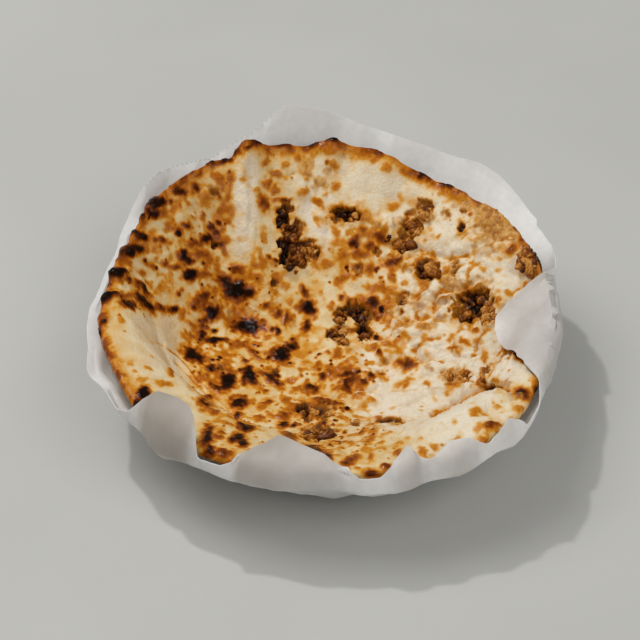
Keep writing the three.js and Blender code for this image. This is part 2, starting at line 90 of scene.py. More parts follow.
# ---- The naan ----
# A leavened flatbread rolled round spiced mince and baked on a clay oven's wall: pale floury dough, charred
# blisters, and tears over the mince. Hot in its paper it has sagged into a deep hollow, with a high back, a
# fold at the back left and a lip rolled out down the left. It is one closed skin, made of rings.
TURN = 360
PAPER_THICK = 0.7
CLEAR = 0.4
BREAD_MIDDLE = 9.5
BREAD_EDGE = 4.5
EDGE_ROUND = 2.2
FLOOR_TOP = PAPER_THICK + CLEAR + BREAD_MIDDLE
FLOOR_RISE = 4
LUMP_LONGEST = 40
LUMP_HEIGHT = 0.9

# The sagged form every 20 degrees of azimuth, from +X towards +Y.
RIM_RADIUS = [
    92, 96, 100.5, 105, 107, 107, 105, 102.5, 99, 97.5, 94, 93.5, 91.5, 90.5, 90.5, 92.5, 92.5, 90,
]
RIM_HEIGHT = [45, 47, 56, 55, 65.5, 70, 67.5, 65.5, 51, 46, 47, 41.5, 41, 41, 40, 40.5, 42, 44]
WALL_START = [
    0.5, 0.46, 0.42, 0.4, 0.42, 0.44, 0.5, 0.6, 0.7, 0.65, 0.57, 0.5, 0.43, 0.32, 0.28, 0.4, 0.54, 0.55,
]
WALL_BEND = [1.2, 1.0, 1.0, 0.9, 0.85, 0.85, 0.9, 1.0, 1.2, 1.6, 2.0, 2.1, 1.8, 1.4, 1.45, 2.3, 2.8, 2.2]

# Folds that run in from the rim: azimuth at the rim and half way in, where they start, height and half
# width.
FOLDS = [
    (113, 121, 0.42, 5, 7.5),  # back ridge
    (124.5, 134, 0.5, -4.5, 8),  # gully beside it
    (96, 95, 0.6, -1.6, 8),
    (79, 80, 0.62, 1.6, 9),
    (58, 60, 0.55, 1.5, 8),
    (150, 152, 0.72, -1.6, 6),
    (355, 352, 0.7, -2, 6),
    (17, 14, 0.66, 1.8, 7),
]
# The sharp crease below the left lip: azimuth, share of the rim's radius, depth.
CREASE = [
    (150, 0.92, 0),
    (156, 0.88, 1.0),
    (172, 0.75, 1.8),
    (186, 0.645, 2.1),
    (204, 0.56, 2.1),
    (224, 0.5, 2.1),
    (244, 0.455, 1.6),
    (252, 0.43, 0),
]
CREASE_WIDTH = 2.6
LIP_HEIGHT = 1.4  # the roll outside the crease, for each millimetre of its depth
LIP_OUT = 13
LIP_WIDTH = 9
# Dents and swellings: x, y, radius, height.
DENTS = [
    (60, -32, 7, -4.5),
    (49, -20, 13, -3),
    (-6, -47, 13, -4),
    (-78, 18, 22, 3),
    (-85, -14, 16, 1.5),
    (52, -60, 16, 1.5),
    (2, -76, 18, 1),
    (88, 41, 6, 2.6),  # mince lump at the rim
    (-57, 85, 11, 6.5),  # hump in the back left rim
    (-47.5, 95, 4.5, -4.5),  # notch left of the ridge
    (-36, 97.5, 7, 3.5),  # charred end of the ridge
    (0, 105, 6, 4),  # charred knob in the back rim
]


def cosine(azimuth):
    return np.cos(np.radians(azimuth))


def sine(azimuth):
    return np.sin(np.radians(azimuth))


def smooth(value, low, high):
    """0 before low and 1 after high, with a soft step between; low may be the larger."""
    share = np.clip((value - low) / (high - low), 0, 1)
    return share * share * (3 - 2 * share)


def bell(distance, width):
    return np.exp(-((distance / width) ** 2))


def turn_between(a, b):
    return np.mod(a - b + TURN / 2, TURN) - TURN / 2


def around(values, azimuth):
    """A smooth closed curve through values given at even steps of azimuth."""
    count = len(values)
    place = np.mod(azimuth / TURN * count, count)
    first = np.floor(place).astype(int)
    f = place - first
    p0, p1, p2, p3 = (np.take(values, (first + step) % count) for step in (-1, 0, 1, 2))
    bend = 2 * p0 - 5 * p1 + 4 * p2 - p3
    twist = 3 * p1 - p0 - 3 * p2 + p3
    return 0.5 * (2 * p1 + (p2 - p0) * f + bend * f**2 + twist * f**3)


def form_height(reach, azimuth):
    """Top of the bread without crease and lumps; reach is 0 in the middle and 1 at the rim."""
    rim = around(RIM_RADIUS, azimuth)
    start = around(WALL_START, azimuth)
    bend = around(WALL_BEND, azimuth)
    radius = reach * rim
    x = radius * cosine(azimuth)
    y = radius * sine(azimuth)
    foot = 0.1 - 0.05 * smooth(-np.abs(turn_between(azimuth, 205)), -60, -30)
    past = (reach - start) / (1 - start)
    rise = np.clip((past + np.hypot(past, foot)) / (1 + np.hypot(1, foot)), 0, 1)
    wall = np.where(bend >= 1, 1 - (1 - rise) ** np.maximum(bend, 1), rise ** (1 / np.minimum(bend, 1)))
    floor = FLOOR_TOP + FLOOR_RISE * np.minimum(reach / start, 1) ** 2
    z = floor + (around(RIM_HEIGHT, azimuth) - floor) * wall
    for at_rim, inside, begins, height, width in FOLDS:
        middle = inside + (at_rim - inside) * np.clip((reach - 0.5) / 0.5, -0.4, 1)
        side = np.radians(turn_between(azimuth, middle)) * radius
        z = z + height * bell(side, width) * smooth(reach, begins - 0.15, begins + 0.25)
    for dent_x, dent_y, wide, height in DENTS:
        z = z + height * bell(np.hypot(x - dent_x, y - dent_y), wide)
    return z


def lumps(x, y):
    """Uneven lumps: waves that cross at steadily turning directions, each shorter than the last."""
    waves = 7
    shorter = 0.82
    golden_angle = 2.399963
    total = 0
    for i in range(waves):
        direction = golden_angle * i + 0.6
        length = LUMP_LONGEST * shorter**i
        ahead = (x * math.cos(direction) + y * math.sin(direction)) / length
        sideways = (x * math.sin(direction) - y * math.cos(direction)) / length
        total = total + np.sin(2 * math.pi * ahead + 1.7 * i + 0.9 * np.sin(2.2 * sideways + i))
    return LUMP_HEIGHT * total / math.sqrt(waves)


def top_height(reach, azimuth):
    rim = around(RIM_RADIUS, azimuth)
    x = reach * rim * cosine(azimuth)
    y = reach * rim * sine(azimuth)
    turns, reaches, depths = zip(*CREASE)
    at = np.mod(azimuth, TURN)
    depth = np.interp(at, turns, depths)
    out = (reach - np.interp(at, turns, reaches)) * rim
    crease = depth * (LIP_HEIGHT * bell(out - LIP_OUT, LIP_WIDTH) - bell(out, CREASE_WIDTH))
    lumpy = (0.3 + 0.7 * smooth(x + 0.35 * y, -15, 35)) * (1 - smooth(reach, 0.9, 1.05))
    return form_height(reach, azimuth) + crease + lumpy * lumps(x, y)


def under_height(reach, azimuth):
    return form_height(reach, azimuth) - (BREAD_MIDDLE + (BREAD_EDGE - BREAD_MIDDLE) * smooth(reach, 0.55, 1))


def even_turns(count):
    return np.arange(count) * TURN / count


def ring(azimuth, radius, z):
    """One ring of a skin: its azimuths and its points."""
    radius = np.broadcast_to(radius, azimuth.shape)
    z = np.broadcast_to(z, azimuth.shape)
    return azimuth, np.column_stack([radius * cosine(azimuth), radius * sine(azimuth), z])


def closed_skin(rings):
    """Points and outward triangles of a closed skin: pole, rings over the top, edge, rings below, pole."""
    faces = []
    start = 0
    for (first, _), (second, _) in itertools.pairwise(rings):
        firsts = len(first) if len(first) > 1 else 0
        seconds = len(second) if len(second) > 1 else 0
        after_first = [*first[1:], first[0] + TURN][:firsts]
        after_second = [*second[1:], second[0] + TURN][:seconds]
        other = start + len(first)
        i = 0
        j = 0
        while i < firsts or j < seconds:
            a = start + i % len(first)
            b = other + j % len(second)
            if j >= seconds or (i < firsts and after_first[i] <= after_second[j]):
                i += 1
                faces.append((a, b, start + i % len(first)))
            else:
                j += 1
                faces.append((a, b, other + j % len(second)))
        start = other
    return np.concatenate([points for _, points in rings]), np.array(faces)


def normals_of(points, faces):
    corners = points[faces]
    across = np.cross(corners[:, 1] - corners[:, 0], corners[:, 2] - corners[:, 0])
    total = np.zeros_like(points)
    for corner in range(3):
        np.add.at(total, faces[:, corner], across)
    return total / np.linalg.norm(total, axis=1, keepdims=True)


def noise(points, grain, seed):
    """Soft random swellings about a grain across, from -1 to 1, the same every time for one seed."""
    cells = 32
    draws = np.random.default_rng(seed)
    table = draws.uniform(-1, 1, (cells, cells, cells))
    turned, _ = np.linalg.qr(draws.normal(size=(3, 3)))
    place = points @ turned / grain + cells
    low = np.floor(place).astype(int)
    share = place - low
    share = share * share * (3 - 2 * share)
    total = np.zeros(len(points))
    for step in itertools.product((0, 1), repeat=3):
        weight = np.prod(np.where(step, share, 1 - share), axis=1)
        x, y, z = ((low + step) % cells).T
        total += weight * table[x, y, z]
    return total


def curds(points, grain, seed):
    """Rounded lumps about a grain across with sharp creases between: 0 in a crease, up to 1 on a lump."""
    share = np.minimum(1.9 * np.abs(noise(points, 1.4 * grain, seed)), 1)
    return share * (2 - share)


# The skin of the bread: ring n over the top has n times as many points as the first, so the mesh stays even.
TOP_RINGS = 168
UNDER_RINGS = 40
FIRST_RING = 6
EDGE_ANGLES = (62, 31, 0, -31, -62)

rings = []
for n in range(TOP_RINGS + 1):
    azimuth = even_turns(max(1, FIRST_RING * n))
    rim = around(RIM_RADIUS, azimuth)
    reach = (1 - EDGE_ROUND / rim) * n / TOP_RINGS
    rings.append(ring(azimuth, reach * rim, top_height(reach, azimuth)))
top_count = sum(len(turns) for turns, _ in rings)
for angle in EDGE_ANGLES:
    azimuth = even_turns(FIRST_RING * TOP_RINGS)
    radius = around(RIM_RADIUS, azimuth) - EDGE_ROUND * (1 - cosine(angle))
    middle = top_height(1, azimuth) - BREAD_EDGE / 2
    rings.append(ring(azimuth, radius, middle + BREAD_EDGE / 2 * sine(angle)))
edge_count = top_count + len(EDGE_ANGLES) * FIRST_RING * TOP_RINGS
for n in range(UNDER_RINGS, -1, -1):
    azimuth = even_turns(max(1, FIRST_RING * n))
    rim = around(RIM_RADIUS, azimuth)
    reach = np.minimum(n / UNDER_RINGS, 1 - EDGE_ROUND / rim)
    rings.append(ring(azimuth, reach * rim, under_height(reach, azimuth)))
form, naan_faces = closed_skin(rings)
form_normals = normals_of(form, naan_faces)
on_top = np.zeros(len(form))
on_top[:top_count] = 1
on_top[top_count:edge_count] = np.repeat(smooth(np.array(EDGE_ANGLES), -40, 62), FIRST_RING * TOP_RINGS)
form_azimuth = np.mod(np.degrees(np.arctan2(form[:, 1], form[:, 0])), TURN)
form_reach = np.hypot(form[:, 0], form[:, 1]) / around(RIM_RADIUS, form_azimuth)

# A mark is an oval in the photograph: u, v, width, height, degrees it is turned clockwise, and its
# strength. It is laid on the part of the bread that shows there, with an outline that wanders like dough.
form_u, form_v, form_depth = pixel_of(form)
REACH_OF_MARK = 2.6  # its golden halo ends this many times further out than its outline
WANDER = 2.0
wandering_u = form_u + WANDER * noise(form, 3.1, 1) + 0.8 * noise(form, 1.4, 2)
wandering_v = form_v + WANDER * noise(form, 3.1, 3) + 0.8 * noise(form, 1.4, 4)


def seat_of(u, v):
    """The point of the bread's top that shows at a pixel: of those near it, the one nearest the eye."""
    apart = np.hypot(form_u[:edge_count] - u, form_v[:edge_count] - v)
    near = np.flatnonzero(apart < max(1.6, apart.min() + 0.4))
    return near[np.argmin(form_depth[near])]


def out_of_oval(near, u, v, width, height, turn):
    """How far out from an oval's middle points show: 1 is its outline."""
    across = wandering_u[near] - u
    down = wandering_v[near] - v
    ahead = (across * cosine(turn) + down * sine(turn)) / (width / 2)
    aside = (down * cosine(turn) - across * sine(turn)) / (height / 2)
    return np.hypot(ahead, aside)


def spread(u, v, width, height, turn):
    """The points within a mark's reach, and how far out they are."""
    seat = form[seat_of(u, v)]
    within = 1.2 * REACH_OF_MARK * max(width, height) / PIXELS_PER_MM / 2 + 2
    near = np.flatnonzero((np.linalg.norm(form - seat, axis=1) < within) & (on_top > 0))
    return near, out_of_oval(near, u, v, width, height, turn)


# Regions: how toasted the skin is between its marks, where flour keeps it pale, and where the dough has
# torn into soft fluff.
TOASTED = [
    (212, 290, 175, 165, -10, 1.0),
    (190, 212, 120, 100, -35, 0.9),
    (125, 280, 66, 120, 12, 0.75),
    (240, 380, 120, 100, 30, 0.7),
    (320, 392, 110, 70, 0, 0.75),
    (362, 255, 90, 84, 0, 0.75),
    (285, 165, 130, 56, 0, 0.5),
    (345, 335, 120, 110, 0, 0.6),
    (365, 452, 90, 50, 0, 0.5),
    (225, 440, 70, 50, 0, 0.35),
    (400, 320, 90, 100, 0, 0.4),
    (335, 430, 150, 50, 0, 0.35),
    (490, 225, 70, 60, 0, 0.35),
    (246, 205, 26, 130, 3, -1.0),
    (148, 345, 96, 90, 40, -0.9),
    (175, 290, 44, 50, 0, -0.35),
    (455, 408, 130, 60, -25, -0.5),
    (320, 225, 40, 60, 0, -0.4),
]
FLOURED = [
    (470, 300, 190, 240, 0, 0.9),
    (350, 190, 130, 100, 0, 0.6),
    (246, 200, 24, 120, 3, 0.9),
    (420, 385, 150, 120, 0, 0.9),
    (318, 225, 40, 80, 0, 0.6),
    (150, 345, 90, 80, 40, 0.35),
    (430, 430, 200, 60, -15, 0.6),
    (450, 418, 160, 34, -20, -0.8),
    (370, 450, 90, 30, 0, -0.5),
]
FLUFFED = [
    (452, 290, 150, 190, 0, 1.0),
    (440, 350, 130, 90, 0, 0.6),
    (380, 372, 120, 60, 0, 0.6),
    (375, 405, 110, 40, 0, 0.4),
    (400, 225, 60, 50, 0, 0.5),
    (495, 225, 50, 40, 0, -0.6),
]


def region(areas):
    """How much of each point lies in soft-edged areas, added up and kept from 0 to 1."""
    total = np.zeros(len(form))
    for *oval, strength in areas:
        total += strength * smooth(out_of_oval(everywhere, *oval), 1.35, 0.65)
    return np.clip(total, 0, 1)


everywhere = np.arange(len(form))
toasted = region(TOASTED)
floured = region(FLOURED)
fluffed = region(FLUFFED)

# Scorch marks, from gold through brown to the black of the blisters that touched the oven's wall.
SCORCHES = [
    # upper left
    (202, 163, 14, 5, 10, 0.95), (225, 162, 16, 5, -8, 0.95), (212, 165, 8, 5, 0, 0.85),
    (236, 152, 9, 7, 0, 0.85), (248, 147, 14, 4, -20, 0.8), (193, 172, 16, 7, 20, 0.7),
    (180, 191, 20, 9, 10, 0.82), (197, 187, 8, 8, 0, 0.82), (231, 177, 10, 11, 20, 0.62),
    (222, 186, 8, 8, 0, 0.6), (205, 195, 15, 9, 0, 0.5), (228, 198, 7, 11, 0, 0.62),
    (157, 203, 20, 9, -10, 0.95), (150, 208, 9, 6, 0, 0.88), (147, 215, 17, 6, 0, 0.94),
    (156, 214, 7, 5, 0, 0.9), (205, 204, 13, 10, 0, 0.5), (186, 225, 11, 8, 10, 0.82),
    (210, 227, 9, 8, 0, 0.85), (216, 233, 10, 9, 30, 0.8), (207, 239, 11, 9, 0, 0.88),
    (141, 236, 14, 8, 15, 0.95), (133, 233, 9, 5, -10, 0.85), (177, 229, 13, 6, 20, 0.72),
    (162, 240, 17, 7, 15, 0.76), (135, 249, 22, 9, -5, 0.98), (127, 254, 12, 8, 0, 0.98),
    (183, 255, 12, 10, 40, 0.9), (188, 260, 9, 7, 0, 0.88), (194, 243, 22, 9, 0, 0.72),
    (200, 254, 18, 8, 0, 0.7), (224, 250, 6, 14, -20, 0.62), (165, 263, 8, 7, 0, 0.74),
    (150, 265, 11, 6, 30, 0.62), (176, 266, 11, 6, 0, 0.74), (190, 274, 14, 11, 0, 0.98),
    (205, 274, 13, 7, 0, 0.66), (237, 269, 15, 8, 10, 0.76), (117, 274, 18, 8, -8, 0.98),
    (128, 279, 11, 6, 30, 0.82), (224, 280, 17, 10, 10, 0.84), (143, 273, 8, 5, 30, 0.62),
    # left and middle left
    (143, 289, 19, 6, 42, 0.86), (145, 303, 23, 9, 45, 0.94), (160, 307, 15, 7, 30, 0.8),
    (204, 295, 17, 10, -30, 0.78), (237, 291, 24, 18, 0, 1.0), (228, 286, 16, 12, 30, 0.9),
    (249, 292, 12, 8, 0, 0.85), (108, 298, 18, 8, -28, 0.98), (127, 295, 13, 6, 0, 0.66),
    (128, 304, 14, 8, 15, 0.88), (104, 284, 5, 8, 0, 0.9), (101, 291, 4, 8, 0, 0.9),
    (174, 309, 10, 7, 0, 0.9), (182, 315, 8, 11, 0, 0.58), (198, 303, 15, 13, 0, 0.7),
    (212, 312, 14, 12, 0, 0.97), (203, 322, 10, 9, 0, 0.8), (226, 304, 6, 6, 0, 0.5),
    (232, 309, 7, 7, 0, 0.62), (193, 325, 13, 5, 30, 0.62), (248, 326, 28, 14, 5, 1.0),
    (103, 323, 9, 6, -45, 0.9), (99, 333, 4, 10, 0, 0.92), (191, 335, 13, 5, 30, 0.62),
    (202, 333, 9, 8, -40, 0.82), (215, 340, 18, 6, 3, 0.97), (185, 337, 11, 5, 30, 0.5),
    (193, 355, 21, 12, 35, 1.0), (240, 344, 20, 9, 0, 0.64), (212, 368, 11, 7, 0, 0.82),
    (227, 381, 13, 17, 35, 0.97), (250, 377, 12, 17, -35, 0.98), (215, 387, 15, 7, 20, 0.82),
    (238, 402, 17, 11, 0, 0.94), (165, 383, 17, 6, 10, 0.56), (170, 372, 9, 6, 40, 0.62),
    (140, 380, 13, 9, 0, 0.42), (131, 363, 9, 6, 0, 0.36), (143, 395, 15, 11, -40, 0.96),
    (137, 405, 8, 12, 20, 0.85), (205, 404, 13, 8, 30, 0.88), (212, 412, 13, 6, 30, 0.64),
    (204, 398, 9, 5, 0, 0.55), (207, 438, 11, 24, 10, 0.88), (218, 437, 10, 6, 0, 0.7),
    (211, 451, 9, 15, 0, 0.84), (246, 427, 14, 9, 10, 0.94), (237, 438, 14, 8, -20, 0.92),
    (243, 444, 9, 8, 0, 0.92), (224, 453, 19, 11, 0, 0.76), (221, 430, 8, 6, 0, 0.4),
    # middle
    (280, 355, 18, 13, 0, 1.0), (292, 347, 12, 11, -30, 0.97), (308, 307, 13, 13, -40, 0.98),
    (305, 292, 7, 14, -25, 0.76), (306, 326, 8, 14, 15, 0.82), (266, 306, 13, 6, 0, 0.76),
    (277, 313, 8, 11, 0, 0.78), (287, 319, 11, 15, 0, 0.76), (278, 331, 6, 9, 0, 0.88),
    (289, 302, 9, 9, 0, 0.5), (254, 354, 17, 7, 42, 0.74), (271, 379, 25, 8, 32, 0.85),
    (311, 388, 17, 10, 0, 0.84), (317, 366, 11, 9, 0, 0.62), (302, 366, 6, 7, 0, 0.46),
    (322, 377, 9, 8, 0, 0.82), (328, 372, 6, 5, 0, 0.7), (347, 375, 20, 8, -10, 0.8),
    (346, 386, 12, 10, 0, 0.8), (353, 381, 7, 14, 20, 0.72), (338, 355, 10, 10, 0, 0.62),
    (371, 378, 8, 6, 0, 0.82), (268, 402, 13, 6, -20, 0.76), (253, 402, 8, 8, 0, 0.52),
    (284, 415, 17, 8, 0, 0.74), (283, 424, 9, 6, 0, 0.88), (258, 418, 13, 5, 0, 0.62),
    (289, 436, 15, 7, 25, 0.76), (322, 401, 24, 6, 0, 0.72), (314, 450, 24, 8, 15, 0.84),
    (326, 456, 12, 7, 10, 0.82), (351, 459, 16, 9, -25, 0.74), (346, 465, 8, 6, 0, 0.78),
    (371, 458, 8, 9, 0, 0.62), (371, 438, 13, 8, -35, 0.56), (352, 444, 6, 6, 0, 0.52),
    (371, 474, 14, 5, 0, 0.78), (268, 338, 9, 6, 0, 0.56), (366, 430, 9, 4, 0, 0.48),
    (358, 381, 8, 5, 30, 0.6), (343, 368, 22, 5, 0, 0.55), (258, 345, 14, 7, 0, 0.55),
    # back
    (258, 143, 15, 8, 0, 0.84), (280, 144, 26, 6, 3, 0.82), (314, 143, 15, 7, 0, 0.98),
    (333, 138, 14, 7, 0, 0.98), (377, 152, 11, 5, 25, 0.9), (332, 148, 22, 12, 0, 0.5),
    (265, 162, 8, 6, 0, 0.62), (276, 174, 13, 8, 0, 0.58), (286, 164, 9, 8, 0, 0.52),
    (267, 183, 10, 7, 0, 0.62), (275, 190, 9, 8, 0, 0.58), (298, 157, 6, 8, 0, 0.56),
    (264, 203, 12, 18, -10, 0.74), (256, 190, 7, 6, 0, 0.45), (336, 187, 9, 13, 0, 0.56),
    (334, 164, 8, 8, 0, 0.52), (304, 192, 7, 7, 0, 0.48), (325, 194, 6, 6, 0, 0.42),
    (282, 200, 15, 5, 0, 0.78), (318, 203, 12, 8, 40, 0.62), (393, 206, 15, 8, -25, 0.52),
    (335, 231, 8, 11, 0, 0.54), (335, 243, 7, 7, 0, 0.44), (354, 243, 11, 10, 0, 0.84),
    (370, 245, 9, 8, 0, 0.76), (366, 234, 22, 6, 0, 0.54), (379, 237, 13, 11, 45, 0.76),
    (343, 254, 11, 10, 0, 0.58), (359, 254, 20, 9, 0, 0.66), (327, 264, 13, 8, 0, 0.54),
    (371, 269, 9, 13, 20, 0.64), (394, 262, 25, 8, -15, 0.76), (345, 275, 13, 8, 0, 0.58),
    (392, 278, 7, 14, 0, 0.54), (258, 277, 9, 8, 0, 0.58), (284, 285, 9, 8, 0, 0.52),
    (253, 260, 6, 14, 0, 0.46), (273, 263, 8, 6, 0, 0.4), (314, 280, 6, 5, 0, 0.4),
    (386, 168, 9, 8, 0, 0.5), (373, 160, 8, 7, 0, 0.5), (406, 171, 11, 7, 0, 0.54),
    # right
    (424, 176, 14, 9, 20, 0.84), (450, 185, 16, 4, 15, 0.94), (441, 193, 6, 7, 0, 0.46),
    (456, 196, 11, 6, 0, 0.42), (479, 199, 14, 5, 30, 0.84), (500, 211, 12, 4, 30, 0.7),
    (511, 251, 9, 13, 30, 0.72), (484, 270, 7, 6, 0, 0.42), (498, 271, 6, 5, 0, 0.42),
    (526, 286, 10, 7, 0, 0.56), (407, 270, 8, 6, 0, 0.5), (432, 255, 6, 7, 0, 0.44),
    (408, 364, 20, 10, 0, 0.76), (405, 382, 19, 7, -25, 0.5), (428, 385, 7, 6, 0, 0.52),
    (437, 411, 14, 5, -30, 0.44), (422, 452, 9, 11, 0, 0.54), (397, 452, 11, 8, -25, 0.64),
    (491, 425, 14, 9, 0, 0.76), (516, 355, 14, 6, 45, 0.84), (522, 393, 14, 10, 10, 0.84),
    (536, 391, 5, 12, 0, 0.88), (455, 349, 10, 6, 20, 0.7), (465, 343, 10, 7, 45, 0.62),
    (483, 356, 6, 10, 0, 0.5), (452, 334, 6, 4, 0, 0.42), (476, 331, 8, 5, 0, 0.64),
    (495, 380, 8, 5, 0, 0.56), (484, 440, 11, 6, 10, 0.56), (425, 327, 14, 8, 0, 0.6),
    (405, 325, 20, 7, -10, 0.52), (388, 345, 11, 7, 0, 0.54), (373, 349, 7, 6, 0, 0.54),
    (378, 420, 7, 7, 0, 0.56), (373, 303, 12, 12, 0, 0.84), (391, 291, 12, 8, 0, 0.5),
    (388, 305, 8, 10, 0, 0.5), (497, 408, 8, 5, 0, 0.42), (517, 409, 8, 8, 0, 0.46),
]
char = np.zeros(len(form))
blister = np.zeros(len(form))


def brown(near, amount):
    """Browns points: what is already as brown is hardly changed."""
    old = char[near]
    char[near] = np.maximum(old, amount) + 0.2 * np.minimum(old, amount) * (1 - np.maximum(old, amount))


def lay(field, near, amount):
    """Raises a field at some points to an amount, where it is not as high already."""
    field[near] = np.maximum(field[near], amount)


def scorch(near, away, heat):
    """Lays one mark on the skin: a small dark core, brown round it, a golden halo, and the skin blown up."""
    hot = smooth(heat, 0.7, 1)
    core = (0.16 + 0.26 * hot) * smooth(away, 0.75 + 0.3 * hot, 0.2 * hot) * smooth(heat, 0.35, 0.8)
    ring_of_brown = (0.37 + 0.05 * hot) * smooth(away, 1.45 + 0.25 * hot, 0.55)
    halo = 0.31 * smooth(away, REACH_OF_MARK, 1)
    brown(near, np.clip(heat, 0, 1) * (core + ring_of_brown + halo))
    lay(blister, near, (0.25 + 0.55 * heat) * smooth(away, 1.25, 0.3))


# Small blisters and freckles between them, more and hotter where the skin is toasted.
FRECKLES = 1500
freckles = np.random.default_rng(11)
for _ in range(FRECKLES):
    middle = freckles.integers(top_count)
    chance, heat, size, flat = freckles.random(4)
    if chance > 0.08 + 0.92 * toasted[middle]:
        continue
    radius = 0.45 + 1.15 * size**2
    from_middle = form - form[middle]
    near = np.flatnonzero((np.linalg.norm(from_middle, axis=1) < 3 * radius) & (on_top > 0))
    lean = from_middle[near] * [1, 0.75 + 0.5 * flat, 1]
    away = np.linalg.norm(lean, axis=1) / radius + 0.5 * noise(form[near], 1.5, 5)
    scorch(near, away, 0.34 + (0.2 + 0.46 * toasted[middle]) * heat**1.2)
for *oval, heat in SCORCHES:
    near, away = spread(*oval)
    scorch(near, away + 0.35 * noise(form[near], 1.3, 30) + 0.2 * noise(form[near], 2.6, 47), heat)

# Between the marks a toasted stretch is a net of gold round cream islands. The rim is burnt thin and dark
# round the back, over a band of gold, and the left lip has a golden blush.
net = 1 - curds(form, 5.5, 6)
mottled = 0.5 * noise(form, 4.2, 31) + 0.45 * noise(form, 2.0, 46)
drift = 0.4 * smooth(mottled + 0.3 * net + 0.25 * noise(form, 10, 7), -0.2, 0.6)
brown(everywhere, toasted * (0.03 + drift))
burnt_turn = smooth(form_azimuth, 8, 26) * smooth(form_azimuth, 165, 135)
burnt_in_patches = 0.72 + 0.5 * noise(form, 9, 8) + 0.4 * noise(form, 2.5, 9)
burnt = burnt_turn * smooth(form_reach, 0.982, 0.998) * burnt_in_patches
brown(everywhere, np.clip(burnt, 0, 0.95))
gold_turn = smooth(form_azimuth, 8, 26) * smooth(form_azimuth, 215, 200)
rim_gold = smooth(form_reach, 0.925, 0.995) * (0.14 + 0.2 * gold_turn + 0.22 * smooth(mottled, -0.15, 0.2))
brown(everywhere, np.clip(rim_gold, 0, 0.55))
lip_turn = bell(turn_between(form_azimuth, 198), 30)
brown(everywhere, lip_turn * smooth(form_reach, 0.78, 1) * (0.26 + 0.2 * noise(form, 7, 48)))

# Crumbly places where the mince shows through a skin worn thin, with its juices seeping out round them.
WORN = [
    (308, 172, 12, 19, 10, 0.75), (327, 171, 14, 9, 0, 0.7), (320, 184, 21, 13, -10, 0.75),
    (341, 155, 12, 10, 0, 0.45), (270, 170, 10, 9, 0, 0.4), (426, 206, 15, 16, 0, 0.9),
    (412, 212, 12, 9, -20, 0.75), (428, 219, 14, 9, 30, 0.85), (447, 214, 12, 10, 0, 0.8),
    (467, 206, 12, 13, 10, 0.8), (455, 206, 9, 7, 0, 0.5), (497, 222, 46, 48, 35, 1.0),
    (506, 219, 15, 12, 0, 0.85), (495, 234, 24, 14, 0, 0.7), (485, 250, 28, 16, 0, 0.4),
    (455, 268, 6, 18, 0, 0.7), (452, 284, 24, 14, 20, 0.7), (465, 286, 18, 10, 0, 0.6),
    (485, 284, 14, 12, 0, 0.65), (402, 301, 14, 15, 0, 0.85), (394, 312, 18, 6, 0, 0.7),
    (420, 305, 17, 17, 0, 0.6), (425, 327, 22, 10, 0, 0.6), (405, 326, 22, 9, -10, 0.5),
    # The marks from (452, 375) to (503, 383) sit in the valley behind the rolled front right edge; their dark
    # mince colour there is partly worn skin and partly painted shade.
    (440, 318, 14, 9, 0, 0.55), (452, 375, 24, 12, 0, 0.75), (466, 374, 9, 9, 0, 0.9),
    (484, 373, 9, 17, 15, 0.85), (503, 383, 14, 8, 0, 0.6), (475, 346, 8, 9, 0, 0.5),
    (483, 343, 6, 8, 0, 0.8), (429, 369, 10, 7, 0, 0.6), (386, 363, 9, 9, 0, 0.55),
    (393, 422, 26, 6, 5, 0.9), (355, 424, 8, 9, -20, 0.7), (352, 351, 12, 7, 0, 0.45),
    (250, 311, 10, 6, 0, 0.7), (214, 190, 13, 12, 0, 0.6), (193, 203, 9, 12, 0, 0.35),
    (294, 325, 6, 8, 0, 0.6), (228, 314, 5, 9, 0, 0.8), (215, 301, 5, 8, 0, 0.8),
    (191, 315, 4, 8, 0, 0.6), (383, 372, 10, 6, 0, 0.4), (440, 300, 22, 12, 0, 0.45),
    (400, 225, 22, 16, 0, 0.6), (490, 300, 14, 24, 0, 0.6), (350, 222, 30, 8, 0, 0.3),
    (278, 208, 8, 12, 0, 0.4), (360, 208, 8, 10, 0, 0.4), (513, 398, 16, 12, 0, 0.35),
]
crumbly = curds(form, 2.4, 17) * 0.65 + curds(form, 1.3, 18) * 0.35
minced = np.zeros(len(form))
seep = np.zeros(len(form))
for *oval, strength in WORN:
    near, away = spread(*oval)
    ragged = away + 0.5 * noise(form[near], 2.2, 12) + 0.35 * noise(form[near], 1.1, 32)
    lay(minced, near, strength * smooth(ragged, 1.25, 0.6))
    lay(seep, near, 0.8 * strength * smooth(ragged, 1.9, 0.9))

